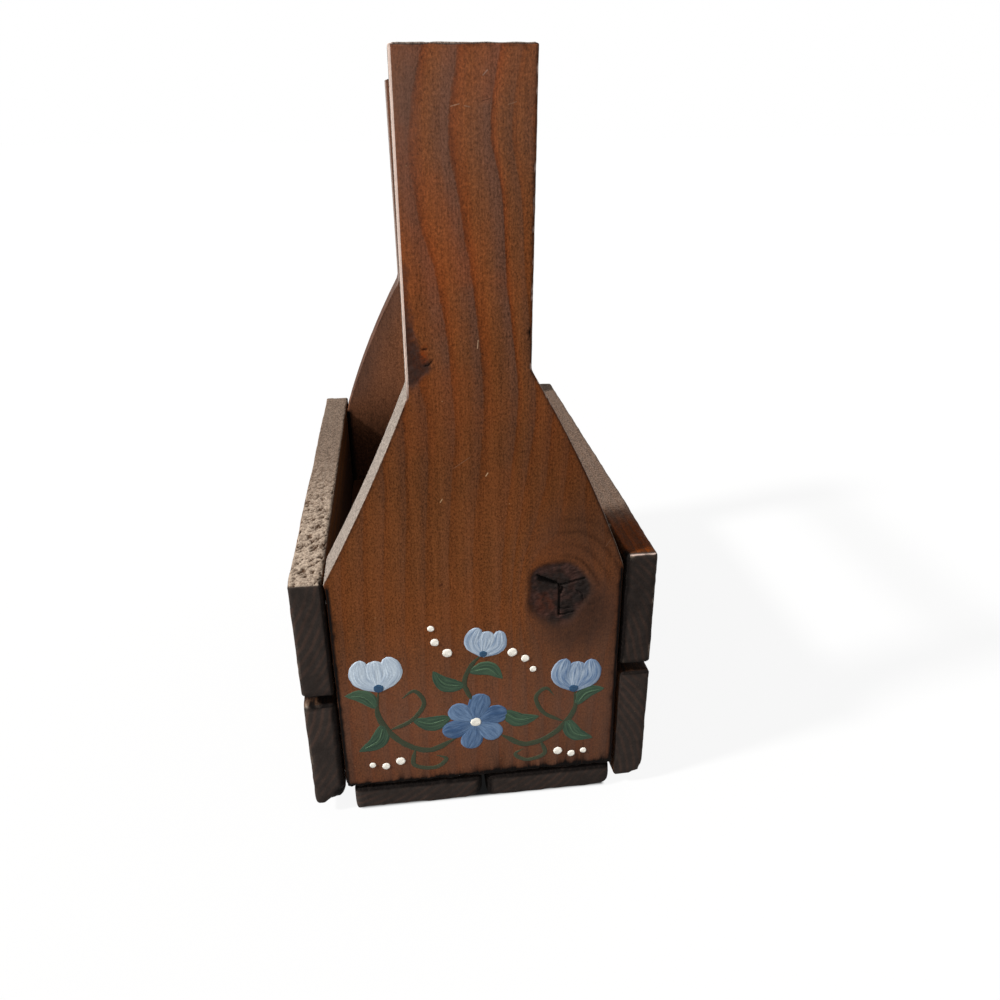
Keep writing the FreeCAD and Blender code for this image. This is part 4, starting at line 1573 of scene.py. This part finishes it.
@dataclass
class Garland:
    """A hanging garland in craft paint: a large flower between two tulips, with leaves and dots."""

    board: EndBoard
    flower_at: Pair = (-2.0, 29.5)
    flower_reach: float = 13.8
    petals: int = 6
    petal_width: float = 9.4
    stems: tuple[tuple[float, float, Run], ...] = (
        (2.7, 0.35, ((-10, 22), (-22, 17), (-34, 24), (-41, 37), (-40, 50))),
        (2.6, 0.3, ((8, 22), (19, 15.5), (31, 20), (39, 31), (39, 42))),
    )
    curls: tuple[tuple[float, float, Run], ...] = (
        (2.1, 0.4, ((-27, 18.5), (-28, 10), (-19.5, 7.5), (-14.5, 11.5), (-18.5, 14))),
        (2.0, 0.4, ((25, 17), (27, 9.5), (19.5, 7), (14.5, 10.5), (18, 13.2))),
        (2.1, 0.3, ((-3, 40), (-6, 49), (-3.5, 57), (1.0, 62.5))),
        (2.0, 0.4, ((-37, 29), (-28, 33), (-22.5, 41), (-26, 47.5), (-31, 44.5))),
        (1.9, 0.4, ((35, 25.5), (26.5, 31), (23, 39), (27, 43.5), (30.5, 39.5))),
    )
    leaves: tuple[tuple[Pair, Pair, float, float, float], ...] = (
        ((-12, 33), (-28, 33.5), 0.17, 7.4, 0.3),
        ((9, 34), (24.5, 29.5), -0.2, 7.2, 0.35),
        ((-39, 33), (-50, 19.5), 0.2, 7.2, 0.25),
        ((36, 27), (47.5, 15.5), -0.2, 7.0, 0.3),
        ((-41, 40.5), (-53.5, 48), -0.2, 6.6, 0.4),
        ((39.5, 33.5), (51.5, 41), 0.2, 6.4, 0.35),
        ((-5.8, 48), (-18.5, 56.5), 0.2, 7.0, 0.3),
        ((-4.2, 54.5), (9.5, 50), 0.24, 6.6, 0.4),
    )
    vein_places: Run = ((0.12, 0.3), (0.5, 1), (0.9, 0.2))
    dots: tuple[Point, ...] = (
        (-12.5, 64.5, 3.9), (-17.2, 69.8, 3.3), (-18.4, 76.2, 2.7),
        (13.2, 62.4, 3.9), (18.4, 59.0, 3.3), (21.6, 53.6, 2.7),
        (-33.5, 12.6, 3.9), (-39.6, 10.6, 3.3), (-45.0, 11.8, 2.7),
        (32.6, 10.2, 3.8), (38.4, 8.2, 3.2), (43.6, 9.2, 2.7),
    )
    cups: tuple[Point, ...] = ((-40, 50.4, 4.2), (38.5, 42.4, 4.0), (1.6, 62.8, 3.2))

    def brush(self, name: str, strokes: Sequence[Stroke], finish: bpy.types.Material) -> bpy.types.Object:
        """Makes one piece of all strokes of a colour.

        Args:
            name: the piece's name.
            strokes: its strokes.
            finish: its paint.

        Returns:
            The new piece, riding on the tote.
        """
        places, faces, facts, count = [], [], [], 0
        for stroke in strokes:
            some, outline, known = stroke.mesh(self.board, count)
            places.append(some)
            faces += outline
            facts.append(known)
            count += len(some)
        joined = {key: np.concatenate([known[key] for known in facts]) for key in facts[0]}
        return settle(new_piece(name, np.concatenate(places), faces, joined), finish, Body.TOTE, Slot.BOARD)

    def dot(self, across: float, up: float, size: float, mood: float = 0.9) -> Stroke:
        """A round dot from the brush's other end."""
        run = ((across - 0.48 * size, up), (across + 0.52 * size, up + 0.1))
        return Stroke(run, size, Tip.DOT, mood, 0.42, 14, 18)

    def bloom(self) -> list[Stroke]:
        """Draws the large flower.

        Returns:
            Its petals.
        """
        strokes = []
        for i in range(self.petals):
            angle = 360 * (i + 0.25) / self.petals
            reach = self.flower_reach * (1 + 0.05 * math.sin(2.3 * i))
            half = away(away(self.flower_at, 0.55 * reach, angle), 0.7, angle + 90)
            run = (away(self.flower_at, 1.2, angle), half, away(self.flower_at, reach, angle))
            strokes.append(Stroke(run, self.petal_width, Tip.PETAL, 0.18 + 0.16 * (i % 3), 0.26))
        return strokes

    def tulip(self, at: Pair, lean: float, mood: float, size: float = 1.0) -> list[Stroke]:
        """Three petals that open from one cup.

        Args:
            at: the foot of the cup.
            lean: which way it opens, in degrees from straight up.
            mood: how pale it is.
            size: its size, where 1 is 16 mm.

        Returns:
            Its strokes.
        """
        strokes = []
        for spread, reach, width in ((-34, 16.0, 8.2), (34, 16.0, 8.2), (0, 14.0, 8.8)):
            half = away(at, 0.55 * reach * size, 90 + lean + spread * 1.3)
            run = (at, half, away(at, reach * size, 90 + lean + spread * 0.55))
            strokes.append(Stroke(run, width * size, Tip.PETAL, mood + 0.1 * (spread == 0), 0.24))
        return strokes

    def leaf(self, start: Pair, end: Pair, bow: float, width: float, mood: float) -> Stroke:
        """A comma-shaped leaf from start to its tip, bowed to one side."""
        return Stroke((start, beside(start, end, 0.5, bow), end), width, Tip.LEAF, mood, 0.2)

    def vein(self, start: Pair, end: Pair, bow: float) -> Stroke:
        """A fine pale line along a leaf."""
        run = tuple(beside(start, end, share, part * bow) for share, part in self.vein_places)
        return Stroke(run, 0.7, Tip.VINE, 0.9, 0.34, 26, 10)

    def build(self) -> list[bpy.types.Object]:
        """Paints the garland.

        Returns:
            Its pieces.
        """
        finishes = {
            paint: CraftPaint(paint.name.lower() + "_paint", *paint.value).build() for paint in Paint
        }
        vines = [Stroke(run, width, Tip.VINE, mood, 0.16, 90, 14) for width, mood, run in self.stems]
        vines += [Stroke(run, width, Tip.VINE, mood, 0.15, 60, 12) for width, mood, run in self.curls]
        pieces = (
            ("vines", vines, Paint.OLIVE),
            ("leaves", [self.leaf(*leaf) for leaf in self.leaves], Paint.LEAF_GREEN),
            ("veins", [self.vein(*leaf[:2], leaf[2] * 0.92) for leaf in self.leaves], Paint.LEAF_GREEN),
            ("bloom", self.bloom(), Paint.MIDDLE_BLUE),
            ("left_tulip", self.tulip((-40, 49.5), 4, 0.66), Paint.PALE_BLUE),
            ("right_tulip", self.tulip((38.6, 41.6), -6, 0.2), Paint.PALE_BLUE),
            ("bud", self.tulip((1.2, 62), -14, 0.42, 0.82), Paint.PALE_BLUE),
            ("dots", [self.dot(*dot) for dot in self.dots + ((*self.flower_at, 4.6),)], Paint.WHITE),
            ("cups", [self.dot(*cup, 0.4) for cup in self.cups], Paint.DEEP_BLUE),
        )
        return [self.brush("garland_" + name, strokes, finishes[paint]) for name, strokes, paint in pieces]


# ---------------------------------------------------------------- sub-assemblies


def ramp(*rows: tuple[float, float, float, float]) -> Stops:
    """A ramp's stops, from rows of a place and a colour's screen values."""
    return tuple((place, shade(*colour)) for place, *colour in rows)


FRONT_RINGS = ramp(
    (0.0, 90, 57, 42), (0.04, 92, 45, 23), (0.14, 118, 60, 27), (0.36, 118, 67, 35), (0.62, 108, 66, 42),
    (0.84, 98, 65, 50), (1.0, 90, 61, 49),
)
REAR_RINGS = ramp((0.0, 88, 52, 34), (0.1, 106, 68, 46), (0.5, 100, 66, 48), (1.0, 92, 62, 46))
# the tray's stain is darker, partly as painted shade for the inside of the box
SHADED_TRAY_RINGS = ramp((0.0, 44, 24, 13), (0.2, 66, 38, 20), (1.0, 54, 33, 21))
SLAT_RINGS = ramp((0.0, 62, 34, 16), (0.12, 96, 56, 24), (0.55, 84, 50, 26), (1.0, 72, 46, 30))
HANDLE_RINGS = ramp((0.0, 92, 50, 26), (0.3, 126, 78, 44), (1.0, 108, 66, 40))
DRAWER_RINGS = ramp((0.0, 140, 92, 50), (0.15, 176, 128, 78), (0.6, 190, 144, 94), (1.0, 166, 120, 76))


def heads(into: Axis, xs: Run, ys: Run, zs: Run, *size: float) -> tuple[NailHead, ...]:
    """A nail head, long from front to back, wherever some places along the three axes meet."""
    return tuple(NailHead(place, into, Axis.Y, *size) for place in product(xs, ys, zs))


def turned_wood(name: str, fibre: Axis) -> bpy.types.Material:
    """The handled wood of the dowel and the knob."""
    return StainedPine(name, fibre, HANDLE_RINGS, contrast=0.7, sheen=0.25).build()


def dress(finish: bpy.types.Material, *nodes: str) -> None:
    """Gives nodes that stay their finish.

    Args:
        finish: the material.
        nodes: the nodes' names.
    """
    for node in nodes:
        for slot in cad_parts[node].material_slots:
            slot.material = finish
        LOG.info("%s: dressed", node)


@dataclass
class Carcass:
    """The tote without its drawer: end boards, slats, tray, handle and their nails."""

    handle_radius: float = 11.0
    face: float = -113.6
    scratch_rows: tuple[tuple, ...] = (
        (-6.95, 196.6, -6.65, 199.3, 0.42, (196, 166, 134), 0.8),
        (-4.8, 150.6, -4.1, 151.7, 0.6, (196, 166, 130), 0.8),
        (-21.3, 141.4, -20.6, 142.6, 0.55, (190, 158, 120), 0.8),
        (-3.6, 171.8, 1.0, 173.4, 0.3, (48, 26, 16), 0.8),
        (-16.2, 154.2, -10.4, 158.0, 0.4, (132, 104, 84), 0.5),
        (40.2, 119.0, 42.2, 122.1, 0.35, (120, 96, 80), 0.6),
        (-4.4, 270.1, -1.7, 270.8, 0.4, (40, 24, 22), 0.8),
        (-3.8, 276.9, -2.5, 278.2, 0.5, (150, 124, 110), 0.7),
        (-13.5, 268.8, -11.0, 269.4, 0.5, (156, 122, 98), 0.75),
        (-9.4, 268.9, -7.9, 268.6, 0.6, (140, 108, 88), 0.6),
        (3.6, 269.2, 6.0, 269.9, 0.4, (134, 104, 84), 0.6),
        (-22.8, 107.0, -21.9, 107.6, 1.5, (64, 34, 20), 0.8),
    )

    def boards(self) -> tuple[EndBoard, EndBoard]:
        """Lays out the end boards.

        Returns:
            The front and the rear one.
        """
        shared = {"body": Body.TOTE, "slot": Slot.BOARD, "fibre": Axis.Z}
        shared |= {"arris": 0.8, "worn": 0.4, "chafe": 0.06}
        crown, rear_crown = (heads(Axis.Z, (-9.65,), (y,), (285.5,)) for y in (-98.0, 98.0))
        return (
            EndBoard("front_end_board", step=(1.25, 1.7, 1.25), heads=crown, face_depth=0.1, seed=7,
                     **shared),
            EndBoard("rear_end_board", step=(2.2, 2.4, 2.2), heads=rear_crown, front=False, seed=23,
                     left=OVERCUT, right=HOLLOW, **shared),
        )

    def slats(self) -> list[Plank]:
        """Lays out the five fixed slats.

        Returns:
            The slats.
        """
        shared = {"body": Body.TOTE, "slot": Slot.SLAT, "fibre": Axis.Y, "end_depth": 0.5}
        bottom = {"step": (2.0, 2.2, 1.2), "arris": 2.0, "worn": 0.9}
        ends, under = (-107.0, 107.0), (-99.0, 99.0)
        return [
            Plank("upper_left_slat", step=(0.62, 0.62, 2.2), arris=0.9, worn=0.5, ripple=0.3, fuzz=0.8,
                  sawn_lit_top=1.0, sanded_lit_top=0.75, sanded_lit_from=(45.0, 150.0), pith=(-170, 0, 140),
                  heads=heads(Axis.X, (-78.8,), ends, (71.7, 99.7)), shaded_sides=(0.8, 0, -0.9),
                  blunt=(Blunt(1, 1, 2.1, 120), Blunt(-1, -1, 2.2)), seed=31, **shared),
            Plank("lower_left_slat", step=(1.3, 2.2, 1.5), arris=1.3, worn=0.8, ripple=0.35,
                  pith=(-175, 0, 85), end_deep=-0.12, lit_ledge=0.9,
                  heads=heads(Axis.X, (-78.8,), ends, (16.7, 44.7)), shaded_sides=(0.8, 0, 0.95),
                  blunt=(Blunt(1, -1, 6.4, 60), Blunt(-1, -1, 2.4)), seed=37, **shared),
            # the upper right slat's top: painted shadow at the near end, paler and partly painted light
            # further back
            Plank("upper_right_slat", step=(1.2, 1.6, 1.7), arris=1.2, worn=0.5, ripple=0.2, chafe=1.4,
                  sanded_lit_top=0.85, sanded_lit_from=(22.0, 50.0), dusk=0.9, crest=0.8, pith=(-16, 0, 53),
                  heads=heads(Axis.X, (61.5,), ends, (75.2, 103.2)), shaded_sides=(-0.95, 0, -0.9),
                  blunt=(Blunt(1, 1, 2.6, 60), Blunt(1, -1, 2.0)), end_deep=0.55, seed=41, **shared),
            Plank("left_bottom_slat", pith=(-90, 0, 90), heads=heads(Axis.Z, (-49.3, -21.3), under, (0.0,)),
                  shaded_sides=(0.95, 0, 0.9), blunt=(Blunt(1, -1, 4.4), Blunt(-1, -1, 2.6)), end_deep=0.1,
                  seed=43, **bottom, **shared),
            Plank("right_bottom_slat", pith=(-60, 0, 100), heads=heads(Axis.Z, (6.3, 34.3), under, (0.0,)),
                  shaded_sides=(-0.95, 0, 0.9), blunt=(Blunt(-1, -1, 3.2), Blunt(1, -1, 3.4)), end_deep=0.25,
                  seed=47, **bottom, **shared),
        ]

    def handle(self) -> Turning:
        """Lays out the handle, a dowel that is worn thin in the middle.

        Returns:
            The handle.
        """
        low, high = (np.array(corner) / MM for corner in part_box("handle_dowel"))
        radius, reach = self.handle_radius, high[1] - low[1]
        profile = (
            (0, radius - 0.6), (0.8, radius), (reach * 0.25, radius), (reach * 0.5, radius - 0.12),
            (reach * 0.75, radius), (reach - 0.8, radius), (reach, radius - 0.6),
        )
        start = ((low[0] + high[0]) / 2, low[1], (low[2] + high[2]) / 2)
        return Turning(
            "handle_dowel", Body.TOTE, Slot.HANDLE, Axis.Y, start, profile, per_run=24, worn=0.14
        )

    def build(self, steel: bpy.types.Material) -> EndBoard:
        """Makes and dresses the carcass.

        Args:
            steel: the nails' finish.

        Returns:
            The front board, for the painter.
        """
        scratches = tuple(
            Scratch((x, self.face, z), (to_x, self.face, to_z), width, shade(*colour), strength)
            for x, z, to_x, to_z, width, colour, strength in self.scratch_rows
        )
        front, rear = self.boards()
        front.build(StainedPine(
            "stained_front_board", Axis.Z, FRONT_RINGS, scratches=scratches, flame=0.4,
            sanded_lit_colour=shade(138, 130, 122), sawn_dark=shade(104, 92, 84),
        ).build())
        rear.build(StainedPine(
            "stained_rear_board", Axis.Z, REAR_RINGS, even=shade(122, 78, 54), dull=shade(84, 64, 56),
            sanded_lit_colour=shade(82, 72, 66), sawn_dark=shade(60, 52, 48), flecks=0.2,
        ).build())
        slat_finish = StainedPine(
            "stained_slats", Axis.Y, SLAT_RINGS, sanded_lit_colour=shade(104, 90, 80), sawn_dark=shade(66, 51, 40),
            sawn_light=shade(180, 163, 146), flecks=0.2,
        ).build()
        for slat in self.slats():
            slat.build(slat_finish)
        tray = Plank(
            "tray_floor", Body.TOTE, Slot.DRAWER, Axis.Y, step=(3, 4, 2), arris=0.7, worn=0.3,
            pith=(-9, 0, -200), ring_gap=2.4, seed=53,
        )
        tray.build(StainedPine("stained_shaded_tray", Axis.Y, SHADED_TRAY_RINGS, contrast=0.8).build())
        self.handle().build(turned_wood("stained_handle", Axis.Y))
        dress(steel, "side_slat_nails", "bottom_slat_nails", "handle_nails")
        return front


@dataclass
class Drawer:
    """The drawer: an overlay front with a knob, two sides, a back and a thin bottom."""

    knob_profile: Run = (
        (0.0, 5.2), (0.5, 5.5), (1.6, 5.3), (3.4, 4.4), (6.0, 3.95), (8.2, 4.4), (9.9, 6.4), (10.8, 8.0),
        (11.8, 8.45), (12.8, 8.3), (14.4, 7.0), (15.9, 4.9), (16.75, 2.4), (16.95, 0.05),
    )

    def front(self) -> Plank:
        """The overlay front."""
        return Plank(
            "drawer_front", Body.DRAWER, Slot.SLAT, Axis.Y, step=(1.5, 2.2, 1.8), arris=1.2, worn=0.6,
            ripple=0.2, end_depth=0.4, end_deep=0.1, pith=(0, 0, 5), shaded_sides=(-0.5, 0, 0.82),
            heads=heads(Axis.X, (61.8,), (-87.3, 87.3), (22.3, 47.5), 2.0, 1.0),
            blunt=(Blunt(1, -1, 4.0), Blunt(1, 1, 1.8)), seed=59,
        )

    def box(self) -> list[Plank]:
        """Lays out the drawer's other boards.

        Returns:
            The sides, the back and the bottom.
        """
        rows = (
            ("front_drawer_side", Axis.X, (3, 2, 2.6), 0.7, 0.35, (0, -140, 60), 61),
            ("rear_drawer_side", Axis.X, (3, 2, 2.6), 0.7, 0.35, (0, 150, 20), 67),
            ("drawer_back", Axis.Y, (2, 3, 2.6), 0.7, 0.35, (-120, 0, 10), 71),
            ("drawer_bottom", Axis.Y, (4, 4, 1), 0.4, 0.1, (-9, 0, -260), 73),
        )
        return [
            Plank(
                name, Body.DRAWER, Slot.DRAWER, fibre, step, arris, worn, pith=pith, end_dark=0.45,
                seed=seed,
            )
            for name, fibre, step, arris, worn, pith, seed in rows
        ]

    def build(self, steel: bpy.types.Material) -> None:
        """Makes and dresses the drawer.

        Args:
            steel: the finish of its nails and screw.
        """
        self.front().build(StainedPine("stained_drawer_front", Axis.Y, SLAT_RINGS).build())
        pine = {
            fibre: StainedPine(name, fibre, DRAWER_RINGS, contrast=0.6, end_dark=shade(120, 84, 52),
                               end_line=shade(160, 118, 78)).build()
            for fibre, name in ((Axis.X, "drawer_pine_sides"), (Axis.Y, "drawer_pine"))
        }
        for plank in self.box():
            plank.build(pine[plank.fibre])
        low, high = (np.array(corner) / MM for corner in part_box("drawer_knob"))
        start = (low[0], (low[1] + high[1]) / 2, (low[2] + high[2]) / 2)
        knob = Turning(
            "drawer_knob", Body.DRAWER, Slot.HANDLE, Axis.X, start, self.knob_profile, 64, 5, worn=0.08
        )
        knob.build(turned_wood("stained_knob", Axis.X))
        dress(steel, "drawer_nails", "knob_screw")


# ---------------------------------------------------------------- studio and camera


@dataclass(frozen=True)
class Lamp:
    """A far lamp: the way to it, how strong it is, and how large it looks, in degrees."""

    name: str
    source: Point
    strength: float
    angle: float
    colour: Colour = (1.0, 1.0, 1.0)

    def build(self) -> None:
        """Hangs the lamp."""
        data = bpy.data.lights.new(self.name, "SUN")
        data.energy, data.angle, data.color = self.strength, math.radians(self.angle), self.colour
        lamp = bpy.data.objects.new(self.name, data)
        lamp.rotation_euler = Vector(self.source).to_track_quat("Z", "Y").to_euler()
        bpy.context.scene.collection.objects.link(lamp)


class Ray(Enum):
    """Outputs of the Light Path node, for the rays that the camera sees by."""

    CAMERA = 0
    GLOSSY = 3
    TRANSMITTED = 6


@dataclass
class Studio:
    """A plain pale floor with a painted shadow under the tote, a soft key light from the left, and two weak
    ones.
    """

    floor_size: float = 30.0
    floor_drop: float = 0.25
    lamps: tuple[Lamp, ...] = (
        Lamp("key_light", (-0.72, -0.17, 0.66), 5.2, 6.0, (1.0, 0.985, 0.96)),
        Lamp("front_light", (-0.12, -0.92, 0.34), 0.9, 40.0),
        Lamp("fill_light", (0.65, 0.62, 0.42), 0.6, 50.0, (0.97, 0.985, 1.0)),
    )
    sky: float = 0.34
    bounce: float = 0.30
    shadow: float = 0.08
    floor_white: float = 0.98
    floor_lit: float = 0.8
    # how dark the painted shadow under the tote is, and the footprint that it covers
    painted_shadow_level: float = 0.01
    foot_low: Pair = (-60.0, -112.0)
    foot_high: Pair = (45.0, 112.0)
    foot_edge: float = 1.0

    def seen(self, bench: Bench) -> Value:
        """1 where the camera looks, straight or through gloss or glass."""
        camera, glossy, transmitted = (bench.value("LightPath", {}, {}, output=ray.value) for ray in Ray)
        return camera.greater(glossy).greater(transmitted)

    def painted_shadow_mask(self, bench: Bench) -> Value:
        """The painted shadow: the part of the floor under the tote, drawn dark as if no light came there.

        Args:
            bench: the floor's bench.

        Returns:
            1 under the tote.
        """
        inside: "Value | float" = 1.0
        for axis, (low, high) in enumerate(zip(self.foot_low, self.foot_high)):
            place = bench.value("SeparateXYZ", {}, {0: bench.place()}, output=axis) * 1000
            begun = place.step(low - self.foot_edge, low + self.foot_edge)
            inside = begun * place.step(high + self.foot_edge, high - self.foot_edge) * inside
        return inside

    def floor(self) -> None:
        """Lays the floor, which throws a little light and looks white, with a painted shadow under the
        tote.
        """
        half = self.floor_size / 2 / MM
        turns = ((-1, -1), (1, -1), (1, 1), (-1, 1))
        corners = np.array([(x * half, y * half, -self.floor_drop) for x, y in turns])
        floor = new_piece("studio_floor", corners, [[0, 1, 2, 3]], {})
        bench = Bench("pale_floor")
        plain = bench.add("BsdfDiffuse", {}, {0: (self.bounce,) * 3})
        lit = bench.add("BsdfDiffuse", {}, {0: (self.floor_lit,) * 3})
        white = bench.add("Emission", {}, {0: (1, 1, 1), 1: self.floor_white})
        # painted shadow: a dark emission under the tote
        dark = bench.add("Emission", {}, {0: (self.painted_shadow_level,) * 3, 1: 1.0})
        shown = bench.add("MixShader", {}, {0: self.shadow, 1: white, 2: lit})
        shown = bench.add("MixShader", {}, {0: self.painted_shadow_mask(bench), 1: shown, 2: dark})
        surface = bench.add("MixShader", {}, {0: self.seen(bench), 1: plain, 2: shown})
        bench.add("OutputMaterial", {}, {"Surface": surface})
        floor.data.materials.append(bench.material)

    def world(self) -> None:
        """Gives the sky its even light, white where it is seen."""
        world = bpy.data.worlds.new("studio")
        bpy.context.scene.world = world
        bench = Bench(world=world)
        strength = self.seen(bench) * (1 - self.sky) + self.sky
        light = bench.add("Background", {}, {0: (1, 1, 1), 1: strength})
        bench.add("OutputWorld", {}, {"Surface": light})

    def build(self) -> None:
        """Sets the studio up."""
        self.floor()
        self.world()
        for lamp in self.lamps:
            lamp.build()
        LOG.info("studio: ready")


@dataclass
class Viewpoint:
    """The camera, in front of the tote and a little to its left, looking down."""

    place: Point = (-32.65, -378.25, 263.84)
    yaw: float = 0.1234
    pitch: float = -0.4318
    roll: float = -0.0079
    lens: float = 29.34
    sensor: float = 36.0
    nearest: float = 0.01

    def build(self) -> None:
        """Sets the camera up."""
        level = math.cos(self.pitch)
        ahead = Vector((math.sin(self.yaw) * level, math.cos(self.yaw) * level, math.sin(self.pitch)))
        right = Vector((math.cos(self.yaw), -math.sin(self.yaw), 0))
        up = right.cross(ahead)
        tilted = math.cos(self.roll) * right + math.sin(self.roll) * up
        upright = math.cos(self.roll) * up - math.sin(self.roll) * right
        data = bpy.data.cameras.new("camera")
        data.lens, data.sensor_width, data.clip_start = self.lens, self.sensor, self.nearest
        camera = bpy.data.objects.new("camera", data)
        camera.rotation_euler = Matrix((tilted, upright, -ahead)).transposed().to_euler()
        camera.location = Vector(self.place) * MM
        bpy.context.scene.collection.objects.link(camera)
        bpy.context.scene.camera = camera
        LOG.info("camera: ready")


def main() -> None:
    """Builds the tote, its studio and the camera."""
    logging.basicConfig(level=logging.INFO, format="%(message)s")
    bpy.context.scene.view_settings.view_transform = "Standard"
    Viewpoint().build()
    Studio().build()
    steel = DulledSteel().build()
    front = Carcass().build(steel)
    Garland(front).build()
    Drawer().build(steel)


if __name__ == "__main__":
    main()
